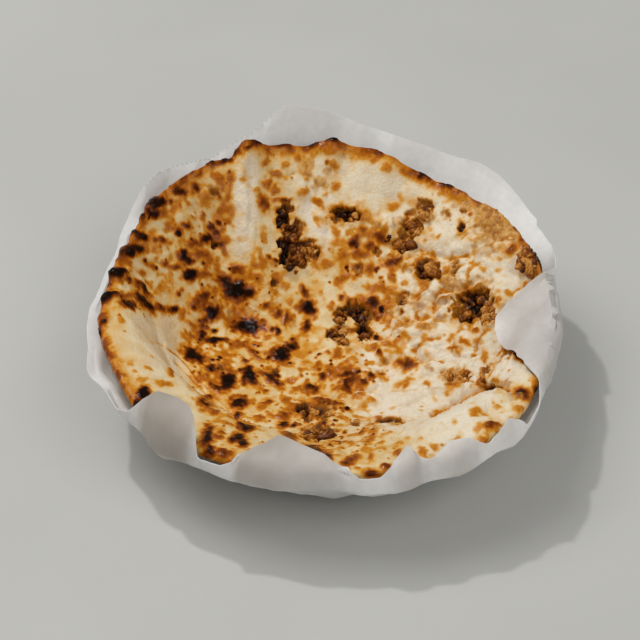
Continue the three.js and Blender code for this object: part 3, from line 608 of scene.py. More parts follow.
# Holes where the skin burst: each oval with its depth in millimetres.
HOLES = [
    (286, 209, 15, 14, 0, 2.2), (284, 220, 12, 14, 0, 2.6), (287, 243, 13, 24, 5, 3.4),
    (286, 258, 11, 18, 0, 3.6), (300, 254, 30, 26, 0, 2.2), (296, 231, 15, 22, 10, 1.8),
    (344, 215, 30, 14, -3, 2.4), (358, 311, 24, 17, 10, 3.6), (363, 329, 15, 24, -20, 3.6),
    (342, 314, 14, 14, 0, 1.6), (341, 334, 15, 22, 0, 1.0), (475, 303, 34, 22, -22, 3.4),
    (464, 313, 22, 16, 25, 2.6), (487, 314, 20, 22, 0, 1.8), (425, 269, 18, 18, 20, 2.4),
    (437, 267, 12, 10, 0, 1.4), (405, 240, 20, 22, 0, 1.6), (414, 227, 22, 14, 0, 1.8),
    (303, 411, 11, 20, -38, 3.4), (322, 411, 30, 18, 0, 1.2), (319, 433, 30, 17, 0, 2.0),
    (216, 245, 8, 7, 0, 2.4), (462, 228, 8, 11, 20, 2.4), (274, 283, 8, 8, 0, 1.8),
    (276, 372, 9, 6, -20, 2.0), (221, 367, 5, 5, 0, 1.6), (330, 333, 10, 7, -25, 2.2),
    (402, 300, 13, 15, 0, 1.4), (378, 252, 9, 11, -15, 1.1), (358, 269, 12, 11, 0, 1.3),
    # The holes at (466, 374), (484, 373) and (489, 386) sit in the valley behind the rolled front right edge;
    # their dark colour there is partly torn skin and partly painted shade.
    (393, 422, 27, 6, 5, 1.8), (355, 424, 7, 8, -20, 1.1), (466, 374, 9, 9, 0, 1.8),
    (484, 373, 7, 16, 15, 1.8), (455, 268, 5, 16, 0, 1.2), (447, 214, 6, 6, 0, 1.2),
    (465, 212, 5, 6, 0, 1.2), (450, 312, 5, 6, 0, 1.3), (489, 386, 26, 5, 8, 1.5),
    (426, 207, 15, 15, 0, 1.2), (412, 213, 12, 9, -20, 0.8), (214, 191, 12, 9, 20, 0.8),
]
DEEP = 2.4  # a hole this deep seeps all round
sunk = np.zeros(len(form))
torn = np.zeros(len(form))
for *oval, depth in HOLES:
    near, away = spread(*oval)
    ragged = away + 0.45 * noise(form[near], 2.6, 33) + 0.3 * noise(form[near], 1.2, 34)
    lay(sunk, near, depth * smooth(ragged, 1.3, 0.4))
    lay(torn, near, smooth(ragged, 1.7, 1.2) * smooth(ragged, 0.9, 1.15))
    lay(seep, near, smooth(ragged, 2.6, 1.1) * min(depth, DEEP) / DEEP)
in_pit = smooth(sunk, 0.35, 1.3)
minced = np.maximum(minced, in_pit)

# Wrinkles and stretched folds: height, half width in pixels, stain, and the points they run through. Along
# the sunken wrinkles the stain is partly real and partly painted shade in the crease.
LONG_WRINKLE = [
    (158, 341), (170, 350), (180, 358), (190, 369), (200, 381), (212, 392), (226, 405), (240, 419),
]
WRINKLES = [
    (-1.1, 1.7, 0.45, LONG_WRINKLE),
    (-0.8, 1.5, 0.35, [(176, 362), (188, 374), (202, 389), (218, 404), (232, 414), (248, 427)]),
    (0.6, 2.2, 0.0, [(166, 346), (182, 361), (198, 379), (214, 393)]),
    (0.5, 2.0, 0.0, [(196, 388), (212, 402), (228, 414)]),
    (-0.5, 1.5, 0.2, [(140, 268), (146, 282), (156, 292)]),
    (-1.3, 2.0, 0.3, [(482, 386), (490, 374), (497, 360), (501, 343)]),
    (-1.1, 1.7, 0.2, [(484, 386), (496, 378), (505, 368), (511, 356)]),
    (-0.9, 1.6, 0.15, [(488, 372), (492, 356), (496, 342)]),
    (1.0, 2.4, 0.0, [(486, 379), (494, 366), (499, 352), (504, 344)]),
    (0.9, 2.2, 0.0, [(494, 382), (503, 371), (509, 360), (514, 356)]),
    (-1.2, 1.9, 0.5, [(482, 386), (472, 381), (458, 380), (446, 385)]),
    (-2.4, 3.4, 0.5, [(434, 415), (446, 408), (460, 401), (472, 393), (484, 387), (498, 386), (508, 389)]),
    (1.8, 8.0, 0.0, [(424, 432), (444, 421), (466, 410), (484, 400), (504, 397)]),
    (2.4, 2.2, 0.4, [(438, 301), (454, 297), (468, 291), (484, 285)]),
    (-0.6, 1.6, 0.2, [(366, 408), (376, 420)]),
    (-0.6, 1.6, 0.2, [(399, 434), (405, 427)]),
    (-0.7, 1.7, 0.3, [(283, 176), (290, 176), (295, 173)]),
    (-0.7, 1.6, 0.3, [(270, 152), (278, 157)]),
    (-0.9, 1.8, 0.4, [(146, 262), (158, 262), (168, 266)]),
    (-0.7, 1.6, 0.2, [(322, 393), (330, 398), (340, 397)]),
]
relief = np.zeros(len(form))
for height, half_width, stain_and_crease_shade, course in WRINKLES:
    nearest = np.full(len(form), np.inf)
    for (u0, v0), (u1, v1) in itertools.pairwise(course):
        along_u = u1 - u0
        along_v = v1 - v0
        share = (form_u - u0) * along_u + (form_v - v0) * along_v
        share = np.clip(share / (along_u**2 + along_v**2), 0, 1)
        wander = 0.9 * noise(form, 2.5, 13)
        aside = np.hypot(form_u + wander - u0 - share * along_u, form_v + wander - v0 - share * along_v)
        nearest = np.minimum(nearest, aside)
    middle = form[seat_of(*course[len(course) // 2])]
    length = sum(math.dist(a, b) for a, b in itertools.pairwise(course)) / PIXELS_PER_MM
    close = np.linalg.norm(form - middle, axis=1) < 1.2 * length + 4
    relief += height * bell(nearest, half_width) * close * on_top
    # The brown laid along a sunken wrinkle is partly stain and partly painted shade in its crease.
    line = stain_and_crease_shade * bell(nearest, 0.7 * half_width) * close * (0.8 + 0.5 * noise(form, 3, 35))
    brown(everywhere, np.clip(line, 0, 1))

# Puffed bars on the rim at the left, and other swellings: each oval with its height in millimetres.
SWELLINGS = [
    (152, 203, 30, 11, -15, 1.6),
    (145, 217, 26, 9, -5, 1.3),
    (138, 236, 30, 12, 0, 1.5),
    (130, 251, 34, 13, -5, 1.8),
    (118, 272, 30, 12, -8, 1.6),
    (110, 296, 28, 12, -20, 1.5),
    (104, 318, 22, 14, -30, 1.0),
    (196, 168, 26, 9, 0, 1.2),
    (226, 163, 18, 8, 0, 1.0),
    (244, 165, 12, 34, 3, 1.2),
    (243, 215, 12, 60, 2, 1.2),
    (318, 225, 18, 60, 0, 1.2),
    (300, 190, 14, 30, 0, 0.8),
    (436, 240, 34, 26, 0, 2.0),
    (472, 270, 44, 26, 0, 2.2),
    (405, 268, 18, 20, 0, 2.0),
    (505, 290, 24, 26, 0, 1.4),
    (432, 292, 22, 12, 0, 1.4),
    (384, 222, 22, 18, 0, 1.2),
    (528, 266, 24, 28, 10, 2.2),
    (285, 267, 12, 14, 0, 1.0),
    (388, 354, 30, 18, 0, 1.6),
    (432, 346, 30, 18, 0, 1.8),
    (462, 352, 22, 18, 0, 1.8),
    (410, 332, 26, 10, 0, 1.2),
    (434, 388, 26, 14, 0, 1.4),
    (364, 400, 30, 14, 0, 1.4),
    (340, 383, 16, 14, 0, 1.0),
    (400, 400, 50, 18, -10, 1.4),
]
for *oval, swell in SWELLINGS:
    near, away = spread(*oval)
    relief[near] += swell * smooth(away, 1.3, 0.2) * on_top[near]

# The dough's own unevenness: smooth down the left lip, torn into curds where it is floury, rough where it is
# toasted; then the blisters, the crumbs of worn places and the pits with their torn edges.
curdled = curds(form, 7.4, 14) * 1.05 + curds(form, 3.4, 15) * 0.5 + 0.25 * noise(form, 1.5, 16) - 0.95
fluffy = fluffed * smooth(noise(form, 13, 45), -0.7, 0.3)
relief += (0.45 * floured + 2.1 * fluffy) * curdled
relief += (1 - floured) * 0.3 * noise(form, 7, 36)
relief += toasted * (0.4 * noise(form, 3.4, 37) + 0.22 * noise(form, 1.7, 38))
relief += 1.1 * blister
relief += in_pit * (1.6 * crumbly - 0.9) + minced * (1 - in_pit) * (1.2 * crumbly - 0.7)
relief += 0.5 * torn * (1 - in_pit)
relief -= sunk
relief += smooth(form_reach, 0.93, 1) * (0.8 * noise(form, 6, 39) + 0.35 * noise(form, 2.4, 40))

# How dark the mince shows: golden where it is near the skin, and darker the deeper a burst goes and between
# its crumbs, which is painted shade.
tone = 0.78 - 0.1 * in_pit - 0.2 * sunk
tone += (0.36 + 0.1 * in_pit) * (crumbly - 0.5) + (0.12 + 0.12 * in_pit) * noise(form, 4, 41)

# Floury dough is stained gold in blotches and browned more in the creases between its curds, partly stain and
# partly painted shade. Juices stain the skin round the bursts, and the walls of the bursts have cooked brown.
blotches = 0.34 * noise(form, 6.5, 42) + 0.3 * noise(form, 2.6, 43) - 0.02
curd_crease_stain_and_shade = (0.1 + 0.34 * fluffy) * smooth(curdled, -0.1, -0.7)
brown(everywhere, floured * (1 - in_pit) * np.clip(blotches + curd_crease_stain_and_shade, 0, 0.38))
brown(everywhere, seep * np.clip(0.24 + 0.3 * mottled, 0.06, 0.42))
brown(everywhere, 0.62 * smooth(sunk, 0.05, 0.8))
naan_points = form + form_normals * (relief * on_top)[:, None]


def mesh_piece(name, points, faces, fields):
    """A smooth mesh object from points in millimetres, with fields on its points for its material."""
    mesh = bpy.data.meshes.new(name)
    mesh.from_pydata((points * MM).tolist(), [], faces.tolist())
    mesh.shade_smooth()
    for field, values in fields.items():
        mesh.attributes.new(field, "FLOAT", "POINT").data.foreach_set("value", values.astype(np.float32))
    made = bpy.data.objects.new(name, mesh)
    bpy.context.scene.collection.objects.link(made)
    return made


naan_fields = {"char": char, "floured": floured, "minced": minced, "tone": np.clip(tone, 0, 1)}
naan = mesh_piece("flatbread", naan_points, naan_faces, naan_fields)


def linear(colour):
    """An sRGB hex colour as linear red, green, blue and a full alpha."""
    parts = [int(colour[i:i + 2], 16) / 255 for i in (1, 3, 5)]
    return (*(p / 12.92 if p <= 0.04045 else ((p + 0.055) / 1.055) ** 2.4 for p in parts), 1.0)


def add(tree, kind, settings, links):
    """Adds a node. Settings are its properties, socket values or a ramp's stops; links feed its sockets."""
    made = tree.nodes.new(kind)
    for name, value in settings.items():
        if name == "stops":
            stops = made.color_ramp.elements
            while len(stops) < len(value):
                stops.new(1)
            for stop, (position, colour) in zip(stops, value):
                stop.position = position
                stop.color = linear(colour)
        elif isinstance(name, str) and hasattr(made, name):
            setattr(made, name, value)
        else:
            made.inputs[name].default_value = value
    for socket, (other, output) in links.items():
        tree.links.new(other.outputs[output], made.inputs[socket])
    return made


def new_material(name):
    """An empty material with its output node, and the tree to fill."""
    material = bpy.data.materials.new(name)
    material.use_nodes = True
    tree = material.node_tree
    tree.nodes.clear()
    return material, tree


# Leavened wheat dough, baked on clay: matt and floury where it is pale, oily with small glints where it has
# browned. Its crumb is about 1 mm across. The pores under it, about 0.3 mm, are drawn at 0.5 mm so that
# they show.
CRUMB = 1.1
PORES = 0.5
DRIFTS = 9.0  # soft changes between plain and buttery dough
CREAM = "#E2CDA2"
GHEE = "#D2AE6E"  # dough soaked with fat
FLOUR = "#E9E0CF"
bread_material, tree = new_material("tandoor_baked_dough")
place = add(tree, "ShaderNodeTexCoord", {}, {})
crumb_grit = {"Scale": 1 / (CRUMB * MM), "Detail": 3.0}
crumb = add(tree, "ShaderNodeTexNoise", crumb_grit, {"Vector": (place, "Object")})
pores_grit = {"Scale": 1 / (PORES * MM), "Detail": 2.0}
pores = add(tree, "ShaderNodeTexNoise", pores_grit, {"Vector": (place, "Object")})
drifts_grit = {"Scale": 1 / (DRIFTS * MM), "Detail": 4.0}
drifts = add(tree, "ShaderNodeTexNoise", drifts_grit, {"Vector": (place, "Object")})
char_field = add(tree, "ShaderNodeAttribute", {"attribute_name": "char"}, {})
flour_field = add(tree, "ShaderNodeAttribute", {"attribute_name": "floured"}, {})
minced_field = add(tree, "ShaderNodeAttribute", {"attribute_name": "minced"}, {})
tone_field = add(tree, "ShaderNodeAttribute", {"attribute_name": "tone"}, {})
pale = add(tree, "ShaderNodeValToRGB", {"stops": [(0.35, GHEE), (0.6, CREAM)]}, {"Fac": (drifts, "Fac")})
flour_edge = add(tree, "ShaderNodeMath", {"operation": "MULTIPLY_ADD", 1: 1.3, 2: -0.65}, {0: (crumb, "Fac")})
flour_amount = add(
    tree,
    "ShaderNodeMath",
    {"operation": "MULTIPLY_ADD", "use_clamp": True, 1: 0.75},
    {0: (flour_field, "Fac"), 2: (flour_edge, 0)},
)
dough = add(
    tree,
    "ShaderNodeMix",
    {"data_type": "RGBA", 7: linear(FLOUR)},
    {0: (flour_amount, 0), 6: (pale, "Color")},
)
heat_edge = add(tree, "ShaderNodeMath", {"operation": "MULTIPLY_ADD", 1: 0.18, 2: -0.09}, {0: (crumb, "Fac")})
heat = add(
    tree,
    "ShaderNodeMath",
    {"operation": "ADD", "use_clamp": True},
    {0: (char_field, "Fac"), 1: (heat_edge, 0)},
)
BROWNING = [
    (0.0, "#E4C991"),
    (0.15, "#DEAE56"),
    (0.28, "#D08D20"),
    (0.4, "#B96A0D"),
    (0.53, "#8D4507"),
    (0.66, "#5C2806"),
    (0.8, "#301405"),
    (1.0, "#160904"),
]
browned = add(tree, "ShaderNodeValToRGB", {"stops": BROWNING}, {"Fac": (heat, 0)})
browned_amount = add(tree, "ShaderNodeMapRange", {"From Min": 0.04, "From Max": 0.28}, {"Value": (heat, 0)})
skin = add(
    tree,
    "ShaderNodeMix",
    {"data_type": "RGBA"},
    {0: (browned_amount, 0), 6: (dough, 2), 7: (browned, "Color")},
)
# The mince that shows in bursts and worn places, from near black, painted shade in its crevices and deep in
# the bursts, to crumbs of golden fat.
MINCE_TONES = [
    (0.0, "#120703"),
    (0.2, "#371B09"),
    (0.4, "#693C15"),
    (0.6, "#935716"),
    (0.8, "#B67A2C"),
    (1.0, "#D2A45C"),
]
tone_edge = add(tree, "ShaderNodeMath", {"operation": "MULTIPLY_ADD", 1: 0.5, 2: -0.25}, {0: (crumb, "Fac")})
mixed_tone = add(
    tree,
    "ShaderNodeMath",
    {"operation": "ADD", "use_clamp": True},
    {0: (tone_field, "Fac"), 1: (tone_edge, 0)},
)
minced_colour = add(tree, "ShaderNodeValToRGB", {"stops": MINCE_TONES}, {"Fac": (mixed_tone, 0)})
minced_edge = add(tree, "ShaderNodeMath", {"operation": "MULTIPLY_ADD", 1: 0.6, 2: -0.4}, {0: (crumb, "Fac")})
minced_amount = add(
    tree,
    "ShaderNodeMath",
    {"operation": "MULTIPLY_ADD", "use_clamp": True, 1: 1.35},
    {0: (minced_field, "Fac"), 2: (minced_edge, 0)},
)
surface = add(
    tree,
    "ShaderNodeMix",
    {"data_type": "RGBA"},
    {0: (minced_amount, 0), 6: (skin, 2), 7: (minced_colour, "Color")},
)
gloss = add(
    tree,
    "ShaderNodeMapRange",
    {"From Min": 0.15, "From Max": 0.5, "To Min": 0.5, "To Max": 0.08},
    {"Value": (heat, 0)},
)
shine = add(
    tree,
    "ShaderNodeMapRange",
    {"From Min": 0.1, "From Max": 0.7, "To Min": 0.32, "To Max": 0.07},
    {"Value": (heat, 0)},
)
broken_gloss = add(
    tree,
    "ShaderNodeMath",
    {"operation": "MULTIPLY_ADD", 1: 0.1},
    {0: (pores, "Fac"), 2: (gloss, 0)},
)
pore_bump = add(tree, "ShaderNodeBump", {"Strength": 0.2, "Distance": 0.2 * MM}, {"Height": (pores, "Fac")})
roughened = add(
    tree,
    "ShaderNodeMapRange",
    {"From Min": 0.15, "From Max": 0.5, "To Min": 0.7, "To Max": 0.2},
    {"Value": (heat, 0)},
)
crumb_bump = add(
    tree,
    "ShaderNodeBump",
    {"Distance": 0.6 * MM},
    {"Strength": (roughened, 0), "Height": (crumb, "Fac"), "Normal": (pore_bump, "Normal")},
)
bread_shader = add(
    tree,
    "ShaderNodeBsdfPrincipled",
    {
        "IOR": 1.45,
        "Subsurface Weight": 0.08,
        "Subsurface Radius": (1.0, 0.55, 0.25),
        "Subsurface Scale": 2.0 * MM,
    },
    {
        "Base Color": (surface, 2),
        "Roughness": (broken_gloss, 0),
        "Specular IOR Level": (shine, 0),
        "Normal": (crumb_bump, "Normal"),
    },
)
add(tree, "ShaderNodeOutputMaterial", {}, {"Surface": (bread_shader, 0)})
naan.data.materials.append(bread_material)
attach(naan, "root")
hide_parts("naan")

# ---- The mince ----
# Minced meat browned with onion and spices, rolled in as one thin layer. Where the skin burst it shows as
# moist, crumbling grains, most 2 to 5 mm across, dark where they dried and amber where they hold fat; each
# grain is painted lighter on top and darker below, which is painted light and shade. The layer is one closed
# skin, and each loose grain is a knobbly ball seated in its burst.
LAYER_TOP = 0.68  # shares of the bread's thickness, below the floors of the bursts
LAYER_BOTTOM = 0.78
LAYER_REACH = 0.9
LAYER_RINGS = 18

rings = []
for side in ("top", "bottom"):
    for step in range(LAYER_RINGS + 1):
        n = step if side == "top" else LAYER_RINGS - step
        azimuth = even_turns(max(1, FIRST_RING * n))
        rim = around(RIM_RADIUS, azimuth)
        reach = LAYER_REACH * n / LAYER_RINGS - (2 * CLEAR / rim if n == LAYER_RINGS else 0)
        thick = form_height(reach, azimuth) - under_height(reach, azimuth)
        z = form_height(reach, azimuth) - (LAYER_TOP if side == "top" else LAYER_BOTTOM) * thick
        rings.append(ring(azimuth, reach * rim, z))
layer, layer_faces = closed_skin(rings)

# Beds of loose grains: each oval, its number of grains, how high they are heaped, and tone from dark to
# amber.
BEDS = [
    (299, 256, 20, 20, 0, 14, 1.2, 0.28),
    (306, 250, 14, 16, 0, 7, 1.4, 0.5),
    (292, 234, 12, 20, 10, 9, 0.8, 0.28),
    (284, 214, 10, 16, 0, 6, 0.3, 0.3),
    (288, 266, 10, 8, 0, 3, 0.4, 0.3),
    (340, 215, 12, 8, 0, 4, 0.5, 0.3),
    (352, 215, 14, 9, 0, 7, 1.0, 0.6),
    (341, 334, 12, 22, 0, 14, 1.2, 0.55),
    (341, 316, 11, 13, 0, 8, 1.3, 0.4),
    (356, 311, 18, 10, 10, 7, 0.2, 0.18),
    (366, 333, 11, 16, 0, 6, 0.3, 0.4),
    (490, 313, 14, 18, 0, 12, 1.2, 0.72),
    (474, 302, 22, 12, -22, 8, 0.4, 0.16),
    (463, 313, 14, 10, 25, 4, 0.5, 0.5),
    (425, 268, 12, 14, 20, 7, 0.5, 0.3),
    (434, 269, 12, 11, 0, 6, 1.0, 0.66),
    (404, 243, 15, 15, 0, 10, 0.6, 0.6),
    (414, 228, 16, 11, 0, 8, 0.4, 0.62),
    (528, 264, 17, 21, 15, 36, 1.1, 0.52),
    (324, 410, 22, 12, 0, 9, 0.8, 0.88),
    (319, 433, 25, 13, 0, 18, 1.3, 0.5),
    (303, 411, 6, 12, -38, 3, 0.2, 0.2),
    (452, 375, 14, 7, 0, 4, 0.4, 0.8),
    (466, 374, 8, 8, 0, 3, 0.7, 0.4),
    (484, 373, 6, 13, 15, 4, 0.6, 0.36),
    (421, 215, 16, 10, 15, 7, 0.3, 0.7),
    (402, 301, 9, 10, 0, 3, 0.5, 0.6),
    (427, 205, 10, 9, 0, 4, 0.3, 0.66),
    (388, 238, 8, 8, 0, 3, 0.3, 0.45),
]
GRAIN_SPLITS = 3
SMALLEST_GRAIN = 2.0
LARGEST_GRAIN = 6.0
LAYER_TONE = 0.3


def ball(splits):
    """A unit ball of triangles, made by splitting an icosahedron's faces."""
    scratch = bpy.data.meshes.new("ball")
    shape = bmesh.new()
    bmesh.ops.create_icosphere(shape, subdivisions=splits, radius=1)
    shape.to_mesh(scratch)
    shape.free()
    points = np.array([v.co for v in scratch.vertices])
    faces = np.array([p.vertices for p in scratch.polygons])
    bpy.data.meshes.remove(scratch)
    return points, faces


ball_points, ball_faces = ball(GRAIN_SPLITS)
grains = np.random.default_rng(23)
parts = [layer]
part_faces = [layer_faces]
tones = [np.full(len(layer), LAYER_TONE)]
for u, v, width, height, turn, count, heap, tone in BEDS:
    for _ in range(count):
        angle, out, size, lift, shade = grains.random(5)
        ahead = math.sqrt(out) * math.cos(2 * math.pi * angle) * width / 2
        aside = math.sqrt(out) * math.sin(2 * math.pi * angle) * height / 2
        at_u = u + ahead * cosine(turn) - aside * sine(turn)
        at_v = v + ahead * sine(turn) + aside * cosine(turn)
        seat = seat_of(at_u, at_v)
        across = SMALLEST_GRAIN + (LARGEST_GRAIN - SMALLEST_GRAIN) * size**1.8
        radius = (0.7 + 0.4 * heap) * across / 2
        above = 0.7 * heap * lift * (1 - out) + radius * (0.5 * lift - 0.4)
        middle = naan_points[seat] + form_normals[seat] * above
        spin, _ = np.linalg.qr(grains.normal(size=(3, 3)))
        seed = int(100000 * shade)
        knobbly = 0.75 + 0.4 * curds(ball_points, 1.1, seed) + 0.22 * noise(ball_points, 0.6, seed + 1)
        stretched = ball_points * knobbly[:, None] * (radius * grains.uniform(0.5, 1.4, 3))
        part_faces.append(ball_faces + sum(len(p) for p in parts))
        turned = stretched @ spin
        parts.append(turned + middle)
        # Each grain is painted lighter on the side facing out of its burst and darker below: painted light
        # and shade.
        painted_lit_top = (turned @ form_normals[seat]) / radius
        tones.append(np.clip(tone + 0.6 * (shade - 0.5) + 0.22 * painted_lit_top, 0, 1))
mince_fields = {"tone": np.concatenate(tones)}
mince = mesh_piece("mince_grains", np.concatenate(parts), np.concatenate(part_faces), mince_fields)

# Browned meat with its fat: near black to grey-brown and amber, moist enough to glint.
# Meat fibres are about 0.4 mm; they are drawn at 1.1 mm so that they show.
FIBRE = 1.1
mince_material, tree = new_material("fried_spiced_mince")
place = add(tree, "ShaderNodeTexCoord", {}, {})
fibre_grit = {"Scale": 1 / (FIBRE * MM), "Detail": 3.0}
fibre = add(tree, "ShaderNodeTexNoise", fibre_grit, {"Vector": (place, "Object")})
tone_field = add(tree, "ShaderNodeAttribute", {"attribute_name": "tone"}, {})
tone_edge = add(tree, "ShaderNodeMath", {"operation": "MULTIPLY_ADD", 1: 1.1, 2: -0.6}, {0: (fibre, "Fac")})
tone_mixed = add(
    tree,
    "ShaderNodeMath",
    {"operation": "ADD", "use_clamp": True},
    {0: (tone_field, "Fac"), 1: (tone_edge, 0)},
)
MEAT = [(0.0, "#110603"), (0.3, "#3A1806"), (0.55, "#6E380E"), (0.8, "#A8661E"), (1.0, "#CE9448")]
meat = add(tree, "ShaderNodeValToRGB", {"stops": MEAT}, {"Fac": (tone_mixed, 0)})
fibre_bump = add(tree, "ShaderNodeBump", {"Strength": 0.7, "Distance": 0.5 * MM}, {"Height": (fibre, "Fac")})
mince_shader = add(
    tree,
    "ShaderNodeBsdfPrincipled",
    {"IOR": 1.42, "Specular IOR Level": 0.2, "Roughness": 0.26},
    {"Base Color": (meat, "Color"), "Normal": (fibre_bump, "Normal")},
)
add(tree, "ShaderNodeOutputMaterial", {}, {"Surface": (mince_shader, 0)})
mince.data.materials.append(mince_material)
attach(mince, "root")
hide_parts("keema_filling")

# ---- The paper ----
# One sheet of greaseproof paper, torn off a roll along a toothed cutter and pressed hollow under the bread.
# It stands up behind it in a corner, laps over the right side, and its front corners are tucked in. It is
# one closed skin: an inner face, an outer face and the cut edge between them.
BASE_RADIUS = 47
PAPER_WALL_RISE = 46
PAPER_WALL_RUN = 52
PAPER_WALL_CURVE = 1.55
PAPER_STANDOFF = 2.5
PAPER_SLACK = 3
# The edge of the sheet as it lies, corner by corner: azimuth, radius and height.
PAPER_EDGE = [
    (-32, 96, 43.5), (-25, 91, 46), (-20, 83, 45.5), (-11, 75, 40.5), (-6, 72, 37.5), (0, 70, 35),
    (8, 70, 34), (12.5, 71.5, 36.5), (15, 77, 41.5), (16.5, 87, 48), (18, 98, 52.5),
    (21.5, 100.5, 50.5), (28, 106, 51.5), (33, 109.5, 50.5), (36.5, 111, 51), (38, 114, 52),
    (44.4, 115.5, 57), (51.3, 117, 62.2), (56.2, 117, 63.2), (63.9, 116, 64.2), (73, 116, 67.5),
    (83.3, 117, 72.2), (92.4, 118, 78.5), (100.1, 118, 83.7), (108.1, 116, 72.1),
    (118.5, 115, 64.6), (126.4, 115, 66.6), (132.2, 114, 67.5), (136.8, 113, 63.7),
    (143.1, 112, 56.1), (149.9, 110, 47.9), (155.1, 108, 45.3), (163, 105, 43.5), (172, 103.5, 43),
    (182, 102, 42.5), (195, 100.5, 43), (208, 98.5, 43), (212, 98.5, 43.5), (215.5, 98, 45.5),
    (217.5, 93, 51), (220, 88.5, 54.5), (225, 85, 53.5), (229, 84.5, 52.5), (232, 87, 51),
    (235.5, 92, 49), (238, 97, 43), (243, 94, 41), (245.5, 91.5, 41.8), (248.7, 83, 43.5),
    (253.9, 76.6, 45), (260.7, 79, 44), (267.9, 83.3, 42.8), (273, 88.7, 42), (276, 92, 41.3),
    (281, 92.7, 41.3), (290, 84.2, 44.8), (291.3, 89.5, 43), (294, 91.5, 42.8), (300.5, 89, 44.3),
    (305.5, 91, 45.3), (308.5, 95.5, 43.5), (312.3, 93.7, 43.5), (317, 91.4, 46.3),
    (319, 94.8, 46.3), (320.5, 97, 43),
]
PLEAT_COUNT = 19
FOLD_RISE = 3  # how far the margin stands above the rim before it turns in over the bread
FOLD_OVER = 4  # and how much higher it arches where it laps well over
TOOTH = 2.35  # pitch of the cutter's teeth
TOOTH_DEPTH = 1.0
CUT_FROM = 100.1  # the toothed edge runs from the sheet's back corner
CUT_TO = 137
CUT_RADIUS = 116
tooth_turn = math.degrees(TOOTH / CUT_RADIUS)


def pleat_depth(azimuth):
    depth = 0
    for i in range(PLEAT_COUNT):
        middle = TURN * i / PLEAT_COUNT + 5 * math.sin(2.1 * i)
        width = 6 + 2.5 * math.sin(1.3 * i)
        height = 1.2 + 0.7 * math.sin(2.7 * i)
        depth = depth + height * np.maximum(0, 1 - np.abs(turn_between(azimuth, middle)) / width)
    return depth


def edge_of_paper(azimuth, column):
    start = PAPER_EDGE[0][0]
    turns = [row[0] for row in PAPER_EDGE] + [start + TURN]
    values = [row[column] for row in PAPER_EDGE] + [PAPER_EDGE[0][column]]
    return np.interp(start + np.mod(azimuth - start, TURN), turns, values)


def hollow_height(radius, azimuth):
    """The paper's inner face under the bread: a hollow, pressed down where the bread is lower."""
    out = np.maximum(0, (radius - BASE_RADIUS) / PAPER_WALL_RUN)
    hollow = PAPER_WALL_RISE * out**PAPER_WALL_CURVE
    nearby = np.clip((radius - PAPER_SLACK) / around(RIM_RADIUS, azimuth), 0, 1)
    bread = under_height(nearby, azimuth) - PAPER_THICK - 3 * CLEAR
    return PAPER_THICK + np.maximum(0, np.minimum(hollow, bread))


def paper_place(way, azimuth):
    """Radius and height of the inner face; way is 0 in the middle, 1 under the rim and 2 at the edge."""
    rim = around(RIM_RADIUS, azimuth)
    radius = min(way, 1) * (rim + PAPER_STANDOFF)
    z = hollow_height(radius, azimuth)
    free = min(max(way - 1, 0), 1)
    edge_radius = edge_of_paper(azimuth, 1)
    edge_z = edge_of_paper(azimuth, 2)
    lapping = smooth(rim - edge_radius, -2, 6)
    if free > 0:
        bend_radius = (radius + edge_radius) / 2 * (1 - lapping) + (rim + PAPER_STANDOFF + 0.5) * lapping
        arch = around(RIM_HEIGHT, azimuth) + FOLD_RISE + FOLD_OVER * lapping
        bend_z = (z + edge_z) / 2 * (1 - lapping) + arch * lapping
        weights = ((1 - free) ** 2, 2 * free * (1 - free), free**2)
        radius = weights[0] * radius + weights[1] * bend_radius + weights[2] * edge_radius
        z = weights[0] * z + weights[1] * bend_z + weights[2] * edge_z
    pleat = pleat_depth(azimuth) * smooth(radius, BASE_RADIUS + 3, 90) * (1 - lapping * free)
    radius = radius + 0.8 * pleat
    z = z - 0.6 * pleat * (1 - free)
    reach = radius / rim
    resting = top_height(np.minimum(reach, 1), azimuth) + 4 * CLEAR
    if free > 0:
        z = np.where(reach < 1, np.maximum(z, resting), z)
    return radius, np.maximum(z, PAPER_THICK)


# Crumpling: straight creases that cross, as sharp waves in fixed directions, which push the sheet outwards.
CRUMPLES = 4
CRUMPLE_DEPTH = 4.4
CRUMPLE_OUT = -1.2  # where the shallowest of them start
SHEET_THICK = 0.3  # away from the base
SHARP_FOLD = 50  # a crease that turns more than this shows as a sharp line


def crumple(x, y, z):
    draws = np.random.default_rng(41)
    total = 0
    for i in range(CRUMPLES):
        ahead = draws.normal(size=3)
        ahead /= np.linalg.norm(ahead)
        length = 17 + 8 * i
        wave = (x * ahead[0] + y * ahead[1] + z * ahead[2]) / length + draws.random()
        total = total + np.abs(np.mod(wave, 1) * 2 - 1)
    return np.maximum(0, CRUMPLE_OUT + CRUMPLE_DEPTH * total / CRUMPLES)


def sheet_place(way, azimuth, outer):
    """A point of the crumpled sheet's inner or outer face, pushed out square to the way it runs."""
    step = 0.02
    radius, z = paper_place(way, azimuth)
    radius_before, z_before = paper_place(max(way - step, 0), azimuth)
    radius_after, z_after = paper_place(min(way + step, 2), azimuth)
    run = radius_after - radius_before
    rise = z_after - z_before
    length = np.hypot(run, rise)
    up_wall = smooth(radius, BASE_RADIUS, BASE_RADIUS + 14)
    thick = PAPER_THICK + (SHEET_THICK - PAPER_THICK) * up_wall
    push = up_wall * crumple(radius * cosine(azimuth), radius * sine(azimuth), z) + (thick if outer else 0)
    pushed_z = z - push * run / length
    on_base = 0 if outer else PAPER_THICK
    pushed_z = np.where(radius < BASE_RADIUS, on_base, np.maximum(0 if outer else thick, pushed_z))
    return np.maximum(0, radius + push * rise / length), pushed_z


